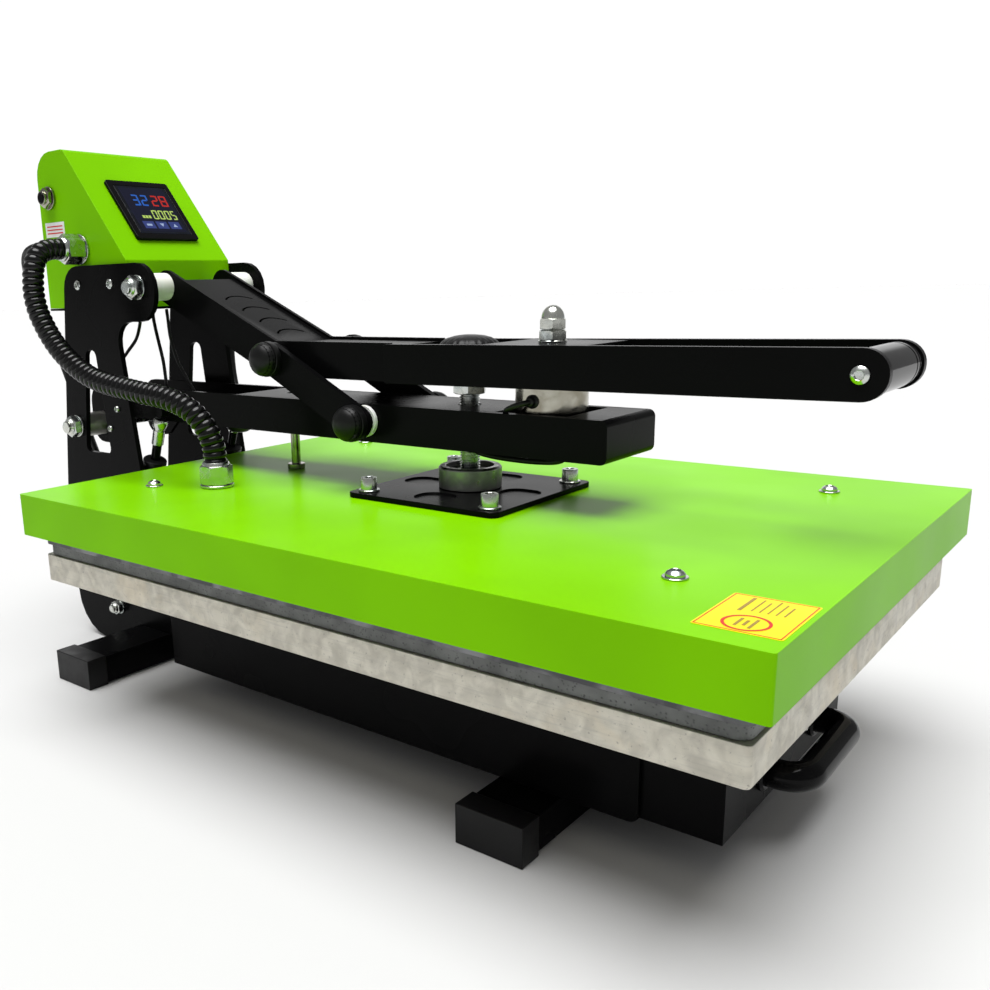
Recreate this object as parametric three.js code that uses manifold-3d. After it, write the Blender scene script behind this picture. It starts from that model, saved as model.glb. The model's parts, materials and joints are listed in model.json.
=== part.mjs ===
// Clamshell heat press for 400 x 600 mm prints: a sheet-metal base on two feet, a pull-out lower
// slab, and a heated upper platen that a gas-sprung arm lifts when the long handle goes up.
//
// Millimetres, +Z up. +X is the operator's right and the operator stands at -Y. Everything is drawn
// about the pressure spindle, which is the centre of both platens, and the whole press is moved at
// the end so that the origin is the centre of its footprint.

import * as THREE from 'three';
import Module from 'manifold-3d';
import { mergeVertices } from 'three/addons/utils/BufferGeometryUtils.js';

const wasm = await Module();
wasm.setup();

// ---------------------------------------------------------------- driving dimensions

const GAP = 0.3; // between pieces that touch

const PRINT = { halfX: 200, halfY: 300 }; // the 400 x 600 mm pressing area

const FOOT = { halfY: 25.7, height: 28.5, endX: 163, capLength: 20, wall: 1.5, frontY: -127, rearY: 340 };
const TUBE_TOP = FOOT.height - FOOT.wall;

const BASE = { halfX: 114, frontY: -205, rearY: 250, bottom: TUBE_TOP + GAP, top: 95, sheet: 2.5 };
const DRAWER = { halfX: 110.5, frontY: -257, rearY: 235, bottom: 30.3, top: 119, sheet: 3 };

const PULL = { halfX: 58, reach: 34, tubeR: 9.5, z: 54 }; // handle on the drawer

const SLAB = { bottom: 119.5, top: 142.3, cornerR: 3.5 };
const PAD = { bottom: SLAB.top + GAP, top: 151, inset: 2, cornerR: 8 };
const HEATER = { bottom: PAD.top + GAP, top: 166, cornerR: 6 };
const COVER = { halfX: 212, halfY: 312, bottom: 160, top: 195, sheet: 2 };

const PLATE = { inner: 63, outer: 68, top: 383, rearY: 470 }; // the two upright side plates

const TOP_PIVOT = { y: 320, z: 361 }; // handle arm on the side plates
const REAR_PIVOT = { y: 440, z: 226 }; // lower arm on the side plates
const LINK_TOP = { y: 169, z: 299 }; // link on the handle arm
const LINK_FOOT = { y: 76, z: 251 }; // link on the lower arm
const PIVOT_R = 6;
const BORE_R = PIVOT_R + GAP;

const ARM = { halfX: 36.4, wall: 4, frontY: -137, bottom: 234, top: 264.5 }; // lower arm
const DECK = { frontY: ARM.frontY + ARM.wall + GAP, rearY: 234, thick: 4 };

const HANDLE = {
  halfX: 36, wall: 3.6, bottom: 283, top: 313, frontY: 50, bendY: 177, slope: 0.45, earR: 15, webDrop: 2.5,
  webThick: 3,
};
const BAR = { inner: 36.3, outer: 42.3, frontY: -292, rearY: 52, bottom: 282.3, top: 312.3, rise: 3.5 };
const barLift = (y) => BAR.rise * (BAR.rearY - y) / (BAR.rearY - BAR.frontY); // they climb to the grip
const GRIP_R = 14;

const MAGNET = { y: -73, r: 26.5, bottom: ARM.bottom + ARM.wall + GAP, top: 287, opening: 29.5 };
const SPINDLE_R = 8;
const SPINDLE_TOP = 301;
const HUB = { plate: 70, plateTop: COVER.top + GAP + 4, top: 217, r: 25 };
const GUIDE = { y: 195, r: 4.2 }; // rod that stops the platen from turning

const BOX = { halfX: 62.5, frontY: 343, rearY: 478, bottom: 343, top: 492, sheet: 2 };
const BOX_BEND = { y: BOX.frontY, z: 386 }; // foot of the sloping panel
const BOX_EDGE = { y: 430, z: 491 }; // head of the sloping panel

const SPRING_FOOT = { y: 395, z: 41 };
const SPRING_HEAD = { y: 325, z: 245 };
const SPRING_X = 49;

const CONDUIT_R = 9;
const CONDUIT_TOP = { y: 413, z: 398.5 };
const CONDUIT_FOOT = { x: -98, y: 192 };

const CABLE_EXIT = { y: 414, z: 398 }; // magnet cable, on the right wall of the box

const CORD_R = 4; // mains cord
const CORD_EXIT = { x: -50, z: 405 };
const COIL = { x: 185, y: 565, r: 41.7, inner: 33.5, outer: 56, height: 16.6 };
const PLUG = { y: COIL.y + COIL.r + 10.3, z: 12.4, from: 152, bodyFrom: 124, bodyTo: 96, pinTo: 77 };

// ---------------------------------------------------------------- solids

function toSolid(geometry) {
  const bare = geometry.clone();
  bare.deleteAttribute('normal');
  bare.deleteAttribute('uv');
  const merged = mergeVertices(bare, 1e-4);
  return new wasm.Manifold(new wasm.Mesh({
    numProp: 3,
    vertProperties: new Float32Array(merged.attributes.position.array),
    triVerts: new Uint32Array(merged.index.array),
  }));
}

function toGeometry(solid) {
  const { vertProperties, triVerts } = solid.getMesh();
  const geometry = new THREE.BufferGeometry();
  geometry.setAttribute('position', new THREE.BufferAttribute(vertProperties, 3));
  geometry.setIndex(new THREE.BufferAttribute(triVerts, 1));
  geometry.computeVertexNormals();
  return geometry;
}

const join = (first, ...rest) => rest.reduce((whole, piece) => whole.add(piece), first);
const cut = (first, ...rest) => rest.reduce((whole, piece) => whole.subtract(piece), first);

// A box from its two limits along each axis.
function block([x0, x1], [y0, y1], [z0, z1]) {
  const geometry = new THREE.BoxGeometry(x1 - x0, y1 - y0, z1 - z0);
  geometry.translate((x0 + x1) / 2, (y0 + y1) / 2, (z0 + z1) / 2);
  return toSolid(geometry);
}

// Turns a shape made along +Y so that it runs along the named axis instead.
function alongAxis(geometry, axis) {
  if (axis === 'x') geometry.rotateZ(-Math.PI / 2);
  if (axis === 'z') geometry.rotateX(Math.PI / 2);
  return geometry;
}

// A round or, with six sides, hexagonal bar from one end to the other along an axis.
function bar(axis, radius, [from, to], centre, sides = 20) {
  const geometry = new THREE.CylinderGeometry(radius, radius, to - from, sides);
  alongAxis(geometry, axis);
  const middle = { x: 0, y: 0, z: 0, ...centre };
  middle[axis] = (from + to) / 2;
  geometry.translate(middle.x, middle.y, middle.z);
  return toSolid(geometry);
}

const nut = (axis, acrossFlats, span, centre) => bar(axis, acrossFlats / Math.sqrt(3), span, centre, 6);

// A turned piece: [radius, distance along the axis] pairs from one end of its axis to the other.
function turned(axis, profile, centre, sides = 24) {
  const points = profile.map(([r, h]) => new THREE.Vector2(r, h));
  if (points[0].y > points.at(-1).y) points.reverse();
  const geometry = alongAxis(new THREE.LatheGeometry(points, sides), axis);
  geometry.translate(centre.x ?? 0, centre.y ?? 0, centre.z ?? 0);
  return toSolid(geometry);
}

// A closed outline from [u, v, corner radius] points, with each corner rounded by an arc.
function outline(corners, arcSteps = 5) {
  const points = [];
  corners.forEach(([u, v, radius = 0], i) => {
    const here = new THREE.Vector2(u, v);
    if (radius === 0) {
      points.push(here);
      return;
    }
    const before = corners[(i + corners.length - 1) % corners.length];
    const after = corners[(i + 1) % corners.length];
    const inward = new THREE.Vector2(before[0], before[1]).sub(here).normalize();
    const onward = new THREE.Vector2(after[0], after[1]).sub(here).normalize();
    const half = Math.acos(THREE.MathUtils.clamp(inward.dot(onward), -1, 1)) / 2;
    const middle = inward.clone().add(onward).normalize();
    const centre = here.clone().addScaledVector(middle, radius / Math.sin(half));
    const first = here.clone().addScaledVector(inward, radius / Math.tan(half)).sub(centre);
    const last = here.clone().addScaledVector(onward, radius / Math.tan(half)).sub(centre);
    const sweep = Math.atan2(first.cross(last), first.dot(last));
    for (let step = 0; step <= arcSteps; step += 1) {
      const turn = (sweep * step) / arcSteps;
      points.push(first.clone().rotateAround(new THREE.Vector2(), turn).add(centre));
    }
  });
  return new THREE.Shape(points);
}

const rectangle = (halfU, halfV, radius = 0) => outline([
  [-halfU, -halfV, radius], [halfU, -halfV, radius], [halfU, halfV, radius], [-halfU, halfV, radius],
]);

// Extrudes a (y, z) outline along X.
function acrossX(shape, [x0, x1]) {
  const geometry = new THREE.ExtrudeGeometry(shape, { depth: x1 - x0, bevelEnabled: false });
  const axes = new THREE.Matrix4().makeBasis(
    new THREE.Vector3(0, 1, 0), new THREE.Vector3(0, 0, 1), new THREE.Vector3(1, 0, 0));
  geometry.applyMatrix4(axes);
  geometry.translate(x0, 0, 0);
  return toSolid(geometry);
}

// Extrudes an (x, y) outline upwards.
function upZ(shape, [z0, z1], at = { x: 0, y: 0 }) {
  const geometry = new THREE.ExtrudeGeometry(shape, { depth: z1 - z0, bevelEnabled: false });
  geometry.translate(at.x, at.y, z0);
  return toSolid(geometry);
}

// A round tube or cord along a smooth curve through the points.
function cord(points, radius, steps, sides = 8) {
  const path = new THREE.CatmullRomCurve3(points.map((p) => new THREE.Vector3(...p)), false, 'centripetal');
  const section = new THREE.Shape();
  section.absarc(0, 0, radius, 0, 2 * Math.PI);
  return new THREE.ExtrudeGeometry(section, { extrudePath: path, steps, curveSegments: sides / 2 });
}

// ---------------------------------------------------------------- materials

const finish = (color, roughness, metalness = 0) => ({ color, roughness, metalness });
const GREEN = finish(0x74c400, 0.38);
const BLACK = finish(0x17181a, 0.5);
const GLOSS_BLACK = finish(0x0b0b0c, 0.2);
const PLASTIC = finish(0x151517, 0.6);
const ZINC = finish(0xc4c8c6, 0.32, 0.9);
const CHROME = finish(0xdadcdd, 0.12, 1);
const ALUMINIUM = finish(0xb5b5b1, 0.45, 0.85);
const STEEL = finish(0x8d9092, 0.4, 0.9);
const SILICONE = finish(0x85888a, 0.8);
const NYLON = finish(0xe9eae4, 0.5);

const press = new THREE.Group();

function add(name, piece, look, parent = press) {
  const geometry = piece.isBufferGeometry ? piece : toGeometry(piece);
  const mesh = new THREE.Mesh(geometry, new THREE.MeshStandardMaterial(look));
  mesh.name = name;
  parent.add(mesh);
  return mesh;
}

const SIDES = [['l', -1], ['r', 1]];
// The limits of a span measured outwards from the middle, on the given side.
const outward = (side, near, far) => (side < 0 ? [-far, -near] : [near, far]);

// ---------------------------------------------------------------- base and feet

function buildFeet() {
  const { halfY, height, endX, capLength, wall } = FOOT;
  for (const [end, y] of [['front', FOOT.frontY], ['rear', FOOT.rearY]]) {
    const tube = block([-endX + 3, endX - 3], [y - halfY + wall, y + halfY - wall], [wall, TUBE_TOP]);
    const bore = block([-endX, endX], [y - halfY + 2 * wall, y + halfY - 2 * wall],
      [2 * wall, TUBE_TOP - wall]);
    add(`foot_${end}`, cut(tube, bore), BLACK);
    for (const [name, side] of SIDES) {
      const cap = block(outward(side, endX - capLength, endX), [y - halfY, y + halfY], [0, height]);
      const socket = block(outward(side, endX - capLength - 1, endX - 3 + GAP),
        [y - halfY + wall - GAP, y + halfY - wall + GAP], [wall - GAP, TUBE_TOP + GAP]);
      add(`foot_cap_${end}_${name}`, cut(cap, socket), PLASTIC);
    }
  }
}

function buildBase() {
  const { halfX, frontY, rearY, bottom, top, sheet } = BASE;
  const side = outline([
    [frontY, bottom, 6], [rearY, bottom], [rearY, top], [frontY, top, 12],
  ]);
  const inside = block([-halfX + sheet, halfX - sheet], [frontY - 10, rearY - sheet],
    [bottom + sheet, top + 10]);
  add('base_channel', cut(acrossX(side, [-halfX, halfX]), inside), BLACK);
}

// The upright plates lean back a little, with a window above the rear pivot and a lobe for the top one.
function sidePlateOutline() {
  const baseFrontY = BASE.rearY + 1;
  const shape = outline([
    [baseFrontY, TUBE_TOP + GAP],
    [FOOT.rearY + FOOT.halfY - 1, TUBE_TOP + GAP],
    [FOOT.rearY + FOOT.halfY - 1, 1],
    [PLATE.rearY, 1, 45],
    [PLATE.rearY, 163, 40],
    [438, PLATE.top, 24],
    [297, PLATE.top, 25],
    [297, 330, 25],
    [361, 330, 20],
    [327, 95, 10],
    [baseFrontY, 95, 8],
  ]);
  shape.holes.push(outline([[386, 201, 6], [398, 303, 7.5], [414, 303, 7.5], [429, 201, 6]]));
  return shape;
}

function buildSidePlates() {
  for (const [name, side] of SIDES) {
    const span = outward(side, PLATE.inner, PLATE.outer);
    const wide = outward(side, PLATE.inner - 5, PLATE.outer + 5);
    add(`side_plate_${name}`, cut(
      acrossX(sidePlateOutline(), span),
      bar('x', BORE_R, wide, TOP_PIVOT),
      bar('x', BORE_R, wide, REAR_PIVOT),
      bar('x', 4 + GAP, wide, SPRING_FOOT),
    ), BLACK);
  }
}

// A through bolt with a washer and a nut outside each side plate.
function throughBolt(pivot, radius, acrossFlats) {
  const face = PLATE.outer + GAP;
  const nutEnd = face + 2 + 0.8 * radius * 2;
  const pieces = [bar('x', radius, [-nutEnd - 3, nutEnd + 3], pivot)];
  for (const [, side] of SIDES) {
    pieces.push(bar('x', acrossFlats * 0.62, outward(side, face, face + 2), pivot));
    pieces.push(nut('x', acrossFlats, outward(side, face + 2, nutEnd), pivot));
  }
  return join(...pieces);
}

function buildPivots() {
  add('pivot_bolt_top', throughBolt(TOP_PIVOT, PIVOT_R, 19), ZINC);
  add('pivot_bolt_rear', throughBolt(REAR_PIVOT, PIVOT_R, 19), ZINC);
  add('spring_bolt', throughBolt(SPRING_FOOT, 4, 13), ZINC);
  for (const [name, side] of SIDES) {
    const bushSpan = outward(side, HANDLE.halfX + 0.4, PLATE.inner - GAP);
    add(`bush_top_${name}`,
      cut(bar('x', 12.5, bushSpan, TOP_PIVOT), bar('x', BORE_R, [-99, 99], TOP_PIVOT)), NYLON);
    const sleeveSpan = outward(side, ARM.halfX + 0.4, PLATE.inner - GAP);
    add(`sleeve_rear_${name}`,
      cut(bar('x', 12, sleeveSpan, REAR_PIVOT), bar('x', BORE_R, [-99, 99], REAR_PIVOT)), STEEL);
  }
}

// ---------------------------------------------------------------- drawer and lower slab

function buildDrawer() {
  const { halfX, frontY, rearY, bottom, top, sheet } = DRAWER;
  const body = block([-halfX, halfX], [frontY, rearY], [bottom, top]);
  const inside = block([-halfX + sheet, halfX - sheet], [frontY + sheet, rearY - sheet],
    [bottom + sheet, top + 10]);
  add('drawer_tray', cut(body, inside), BLACK);

  const slab = rectangle(PRINT.halfX, PRINT.halfY, SLAB.cornerR);
  add('lower_slab', upZ(slab, [SLAB.bottom, SLAB.top]), ALUMINIUM);
  const pad = rectangle(PRINT.halfX - PAD.inset, PRINT.halfY - PAD.inset, PAD.cornerR);
  add('silicone_pad', upZ(pad, [PAD.bottom, PAD.top]), SILICONE);
}

// A round tube bent into a U on the front of the drawer, with room for the fingers behind it.
function buildDrawerHandle() {
  const { halfX, reach, tubeR, z } = PULL;
  const face = DRAWER.frontY - GAP;
  const legX = halfX - 2 * tubeR;
  const backY = face - reach + 2 * tubeR;
  const shape = outline([
    [-halfX, face], [-halfX, face - reach, 20], [halfX, face - reach, 20], [halfX, face],
    [legX, face], [legX, backY, 5], [-legX, backY, 5], [-legX, face],
  ]);
  const chamfer = 0.55 * tubeR;
  const geometry = new THREE.ExtrudeGeometry(shape, {
    depth: 2 * (tubeR - chamfer), bevelThickness: chamfer, bevelSize: chamfer, bevelOffset: -chamfer,
    bevelSegments: 3,
  });
  geometry.translate(0, 0, z - tubeR + chamfer);
  add('drawer_handle', toSolid(geometry), GLOSS_BLACK);
}

// ---------------------------------------------------------------- lower arm

function buildLowerArm() {
  const { halfX, wall, frontY, bottom, top } = ARM;
  const { y, z } = REAR_PIVOT;
  const side = outline([
    [frontY, bottom, 5], [392, bottom, 12], [y - 16, z - 21, 14], [y + 20, z - 21, 18],
    [y + 20, top, 18], [frontY, top, 5],
  ]);
  const inside = acrossX(outline([
    [frontY + wall, bottom + wall], [y + 60, bottom + wall], [y + 60, top + 20], [frontY + wall, top + 20],
  ]), [-halfX + wall, halfX - wall]);
  const earGap = block([-halfX + wall, halfX - wall], [396, y + 60], [z - 60, top + 20]);
  const studs = SIDES.map(([, sign]) => join(
    bar('x', 4, outward(sign, halfX - 1, SPRING_X), SPRING_HEAD, 16),
    bar('x', 5.5, outward(sign, SPRING_X - 4, SPRING_X + 4), SPRING_HEAD, 16),
  ));
  const channel = cut(
    acrossX(side, [-halfX, halfX]), inside, earGap,
    bar('x', BORE_R, [-99, 99], REAR_PIVOT),
    bar('z', SPINDLE_R + 1, [200, 300], {}),
    bar('z', 5.5, [200, 250], { y: GUIDE.y }, 24),
  );
  add('lower_arm_channel', join(channel, ...studs), BLACK);

  const deck = block([-halfX + wall + GAP, halfX - wall - GAP], [DECK.frontY, DECK.rearY],
    [top - DECK.thick, top]);
  add('lower_arm_deck', cut(deck,
    block([-MAGNET.opening, MAGNET.opening], [MAGNET.y - MAGNET.opening, MAGNET.y + MAGNET.opening],
      [200, 300]),
    bar('z', SPINDLE_R + 1, [200, 300], {}),
    bar('z', 5.5, [200, 300], { y: GUIDE.y }, 24),
  ), BLACK);

  const coilR = MAGNET.r - 4.5;
  add('electromagnet', turned('z', [
    [0, MAGNET.bottom], [MAGNET.r, MAGNET.bottom], [MAGNET.r, MAGNET.top - 1], [MAGNET.r - 1, MAGNET.top],
    [coilR, MAGNET.top], [coilR, MAGNET.top - 0.8], [10, MAGNET.top - 0.8], [10, MAGNET.top],
    [0, MAGNET.top],
  ], { y: MAGNET.y }, 40), CHROME);
}

// ---------------------------------------------------------------- heated platen

function buildPlaten() {
  const { halfX, halfY, bottom, top, sheet } = COVER;
  const shell = cut(
    upZ(rectangle(halfX, halfY, 2), [bottom, top]),
    block([-halfX + sheet, halfX - sheet], [-halfY + sheet, halfY - sheet], [bottom - 10, top - sheet]),
  );
  add('platen_cover', shell, GREEN);
  add('heating_plate', upZ(rectangle(PRINT.halfX, PRINT.halfY, HEATER.cornerR),
    [HEATER.bottom, HEATER.top]), STEEL);
  add('insulation', block([-PRINT.halfX + 5, PRINT.halfX - 5], [-PRINT.halfY + 5, PRINT.halfY - 5],
    [HEATER.top + GAP, top - sheet - GAP]), SILICONE);

  // Four pressed hollows reach out from the hub to the middle of each side of its plate.
  const hollows = [0, 1, 2, 3].map((quarter) => {
    const hollow = rectangle(14, 16, 12);
    const angle = (quarter * Math.PI) / 2;
    const at = { x: 46 * Math.sin(angle), y: 46 * Math.cos(angle) };
    return upZ(hollow, [HUB.plateTop - 1.5, HUB.plateTop + 5], at);
  });
  add('hub_plate', cut(upZ(rectangle(HUB.plate, HUB.plate, 7), [top + GAP, HUB.plateTop]),
    ...hollows), BLACK);

  const foot = HUB.plateTop + GAP;
  add('hub', cut(turned('z', [
    [0, foot], [HUB.r, foot], [HUB.r, HUB.top - 1.5], [HUB.r - 1.5, HUB.top], [0, HUB.top],
  ], {}, 32), bar('z', SPINDLE_R + GAP, [foot + 6, HUB.top + 10], {}),
  bar('z', 19, [HUB.top - 4, HUB.top + 10], {}, 32)), STEEL);

  add('guide_rod', join(
    bar('z', GUIDE.r, [top + GAP, 258], { y: GUIDE.y }, 24),
    bar('z', 8, [top + GAP, top + 5], { y: GUIDE.y }, 24),
  ), CHROME);
}

function buildSpindle() {
  const start = HUB.plateTop + GAP + 6 + GAP;
  add('pressure_spindle', join(
    bar('z', SPINDLE_R, [start, SPINDLE_TOP], {}),
    nut('z', 24, [SPINDLE_TOP - 28, SPINDLE_TOP - 16], {}),
  ), ZINC);
  add('pressure_knob', turned('z', [
    [0, SPINDLE_TOP + GAP], [21, SPINDLE_TOP + GAP], [21, 312], [19, 316], [13, 320], [0, 322],
  ], {}, 32), PLASTIC);
}

// ---------------------------------------------------------------- handle arm and links

// One side of the rear channel: level in front, then rising to a round ear about the top pivot.
function handleSide() {
  const { bottom, top, frontY, bendY, slope, earR } = HANDLE;
  const angle = Math.atan(slope);
  const onward = new THREE.Vector2(Math.cos(angle), Math.sin(angle));
  const above = new THREE.Vector2(-Math.sin(angle), Math.cos(angle));
  const back = new THREE.Vector2(TOP_PIVOT.y, TOP_PIVOT.z).addScaledVector(onward, earR);
  const upper = back.clone().addScaledVector(above, earR);
  const lower = back.clone().addScaledVector(above, -earR);
  return outline([
    [frontY, bottom], [bendY + 9, bottom, 4], [lower.x, lower.y, earR * 0.98],
    [upper.x, upper.y, earR * 0.98], [bendY, top, 4], [frontY, top],
  ], 8);
}

// The sheet between the sides lies a little below their top edges and stops short of the pivot.
function handleWeb() {
  const { top, webDrop, webThick, frontY, bendY, slope, earR } = HANDLE;
  const endY = TOP_PIVOT.y - earR - 3;
  const rise = slope * (endY - bendY);
  const upper = top - webDrop;
  const lower = upper - webThick;
  return outline([
    [frontY, lower], [bendY, lower], [endY, lower + rise], [endY, upper + rise], [bendY, upper],
    [frontY, upper],
  ]);
}

function louvre(centreY, centreZ) {
  const arc = new THREE.Shape();
  const [outerR, innerR, half] = [24, 22, 0.8];
  arc.absarc(0, 0, outerR, Math.PI / 2 - half, Math.PI / 2 + half);
  arc.absarc(0, 0, innerR, Math.PI / 2 + half, Math.PI / 2 - half, true);
  const geometry = new THREE.ExtrudeGeometry(arc, { depth: 16, bevelEnabled: false, curveSegments: 5 });
  geometry.translate(0, -outerR, -8);
  geometry.rotateX(Math.atan(HANDLE.slope));
  geometry.translate(0, centreY, centreZ);
  return toSolid(geometry);
}

function buildHandleArm() {
  const { halfX, wall, bendY, top, webDrop, slope } = HANDLE;
  const sides = SIDES.map(([, side]) => acrossX(handleSide(), outward(side, halfX - wall, halfX)));
  const web = acrossX(handleWeb(), [-halfX + 1, halfX - 1]);
  const louvres = [0, 1, 2, 3].map((i) => {
    const y = bendY + 24 + 22 * i;
    return louvre(y, top - webDrop + slope * (y - bendY));
  });
  add('handle_channel', cut(
    join(web, ...sides),
    ...louvres,
    bar('x', BORE_R, [-99, 99], TOP_PIVOT),
    bar('x', 5 + GAP, [-99, 99], LINK_TOP),
  ), BLACK);

  const middle = (BAR.bottom + BAR.top) / 2 + BAR.rise;
  const endR = (BAR.top - BAR.bottom) / 2;
  for (const [name, side] of SIDES) {
    const flat = outline([
      [BAR.frontY - endR, BAR.bottom + BAR.rise, endR * 0.98], [BAR.rearY, BAR.bottom, 3],
      [BAR.rearY, BAR.top, 3], [BAR.frontY - endR, BAR.top + BAR.rise, endR * 0.98],
    ], 8);
    add(`handle_bar_${name}`, cut(acrossX(flat, outward(side, BAR.inner, BAR.outer)),
      bar('x', 5 + GAP, [-99, 99], { y: BAR.frontY, z: middle }, 24)), BLACK);
  }
  add('grip_bolt', join(
    bar('x', 5, [-BAR.outer - 1, BAR.outer + 1], { y: BAR.frontY, z: middle }, 24),
    ...SIDES.map(([, side]) => turned('x', [
      [0, side * (BAR.outer + GAP)], [6, side * (BAR.outer + GAP)], [5.4, side * (BAR.outer + 2.4)],
      [3.4, side * (BAR.outer + 3.4)], [0, side * (BAR.outer + 3.4)],
    ], { y: BAR.frontY, z: middle }, 24)),
  ), ZINC);
  const half = BAR.inner - GAP;
  add('roller_grip', cut(turned('x', [
    [0, -half], [GRIP_R - 1, -half], [GRIP_R, -half + 1], [GRIP_R, half - 8], [GRIP_R - 1.2, half - 7],
    [GRIP_R - 1.2, half - 5], [GRIP_R, half - 4], [GRIP_R, half - 1], [GRIP_R - 1, half], [0, half],
  ], { y: BAR.frontY, z: middle }, 32), bar('x', 5 + GAP, [-99, 99], { y: BAR.frontY, z: middle }, 24)),
  PLASTIC);

  const bridgeRearY = MAGNET.y + 38;
  const bridgeTop = BAR.top + barLift(bridgeRearY);
  const bridge = block([-half, half], [MAGNET.y - 42, bridgeRearY], [bridgeTop - 4, bridgeTop]);
  add('armature_bridge', cut(bridge, bar('z', 6 + GAP, [200, 400], { y: MAGNET.y }, 24)), BLACK);
  const on = bridgeTop + GAP;
  add('armature_bolt', join(
    turned('z', [
      [0, MAGNET.top + GAP], [MAGNET.r, MAGNET.top + GAP], [MAGNET.r, MAGNET.top + 7], [6, MAGNET.top + 7],
      [6, on + 18], [8.2, on + 18], [7, on + 22.5], [4, on + 25], [0, on + 26],
    ], { y: MAGNET.y }, 32),
    nut('z', 19, [on, on + 7], { y: MAGNET.y }),
    nut('z', 17, [on + 8.5, on + 18], { y: MAGNET.y }),
    bar('z', 9.4, [on + 7, on + 8.5], { y: MAGNET.y }, 24),
  ), ZINC);
}

// Each link is a flat bar outside the arms with a domed cap at both pivots. Its upper pin runs in the
// handle arm. Its lower boss stops just clear of the lower arm.
function buildLinks() {
  const along = new THREE.Vector2(LINK_FOOT.y - LINK_TOP.y, LINK_FOOT.z - LINK_TOP.z).normalize();
  const across = new THREE.Vector2(-along.y, along.x);
  const width = 13.5;
  const corner = (end, s, w) => [
    end.y + along.x * s * width + across.x * w * width,
    end.z + along.y * s * width + across.y * w * width, width * 0.98];
  for (const [name, side] of SIDES) {
    const flat = outline([
      corner(LINK_TOP, -1, -1), corner(LINK_FOOT, 1, -1), corner(LINK_FOOT, 1, 1), corner(LINK_TOP, -1, 1),
    ], 8);
    const pieces = [acrossX(flat, outward(side, 45, 51))];
    for (const [end, inner] of [[LINK_TOP, HANDLE.halfX + GAP], [LINK_FOOT, ARM.halfX + 0.4]]) {
      pieces.push(bar('x', 10.5, outward(side, inner, 46), end));
      const dome = [[0, 50], [14, 50], [14, 60], [12.5, 63.5], [8, 66.3], [0, 67.5]];
      pieces.push(turned('x', dome.map(([r, h]) => [r, side * h]), end));
    }
    pieces.push(bar('x', 5, outward(side, 29, 45), LINK_TOP, 24));
    add(`link_${name}`, join(...pieces), BLACK);
  }
}

// ---------------------------------------------------------------- gas springs

function buildGasSprings() {
  const lean = Math.atan2(SPRING_FOOT.y - SPRING_HEAD.y, SPRING_HEAD.z - SPRING_FOOT.z);
  for (const [name, side] of SIDES) {
    const spring = new THREE.Group();
    spring.position.set(side * SPRING_X, SPRING_FOOT.y, SPRING_FOOT.z);
    spring.rotation.x = lean;
    press.add(spring);
    const tube = turned('z', [[0, 13], [7, 13], [11, 17], [11, 163], [9.6, 165], [0, 165]], {}, 28);
    const eye = join(bar('x', 9, [-6, 6], {}), block([-4, 4], [-6, 6], [4, 16]));
    add(`gas_spring_body_${name}`, cut(join(tube, eye),
      bar('x', 4 + GAP, [-20, 20], {}), bar('z', 4.5 + GAP, [88, 170], {})), BLACK, spring);
    add(`gas_spring_rod_${name}`, join(bar('z', 4.5, [90, 186], {}),
      bar('z', 5.6, [185, 207.5], {}, 16)), ZINC, spring);
  }
}

// ---------------------------------------------------------------- control box

const PANEL_ANGLE = Math.atan2(BOX_EDGE.z - BOX_BEND.z, BOX_EDGE.y - BOX_BEND.y);
const PANEL_LENGTH = Math.hypot(BOX_EDGE.z - BOX_BEND.z, BOX_EDGE.y - BOX_BEND.y);
const DISPLAY = { half: 37, window: 30.5, up: 60.5, thick: 3.4, windowDepth: 1.2 };

function boxProfile(inset) {
  const lower = Math.tan(PANEL_ANGLE / 2) * inset;
  return outline([
    [BOX.frontY + inset, BOX.bottom - inset * 8], [BOX.rearY - inset, BOX.bottom - inset * 8],
    [BOX.rearY - inset, BOX.top - inset, 24 - inset], [BOX_EDGE.y + inset, BOX.top - inset, 9 - inset],
    [BOX_BEND.y + inset, BOX_BEND.z - lower, 3],
  ]);
}

function buildControlBox() {
  const { halfX, frontY, rearY, bottom, sheet } = BOX;
  const shell = cut(acrossX(boxProfile(0), [-halfX, halfX]),
    acrossX(boxProfile(sheet), [-halfX + sheet, halfX - sheet]));
  add('control_box', shell, GREEN);
  add('control_box_floor', block([-halfX, halfX], [frontY, rearY], [bottom - 2 - GAP, bottom - GAP]), BLACK);

  const panel = new THREE.Group();
  panel.position.set(0, BOX_BEND.y, BOX_BEND.z);
  panel.rotation.x = PANEL_ANGLE;
  press.add(panel);
  const { half, window, up, thick, windowDepth } = DISPLAY;
  const face = 0.5;
  const bezel = cut(
    upZ(rectangle(half, half, 3), [face, face + thick], { x: 0, y: up }),
    upZ(rectangle(window, window, 1), [face + thick - windowDepth, face + thick + 5], { x: 0, y: up }),
  );
  add('display_bezel', bezel, GLOSS_BLACK, panel);
  add('display_screen', upZ(rectangle(window - GAP, window - GAP, 1),
    [face + thick - windowDepth + GAP, face + thick - 0.2], { x: 0, y: up }), GLOSS_BLACK, panel);
}

function buildBreaker() {
  const at = { y: 459, z: 449 };
  const face = -BOX.halfX - GAP;
  add('breaker_body', cut(join(
    bar('x', 11, [face - 2.5, face], at, 32), nut('x', 17, [face - 7, face - 2.5], at),
  ), bar('x', 5.3, [face - 20, face - 1], at, 24)), CHROME);
  add('breaker_button', bar('x', 4.8, [face - 10, face - 4.4], at, 24), GLOSS_BLACK);
}

// ---------------------------------------------------------------- conduit, cables and mains cord

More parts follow.
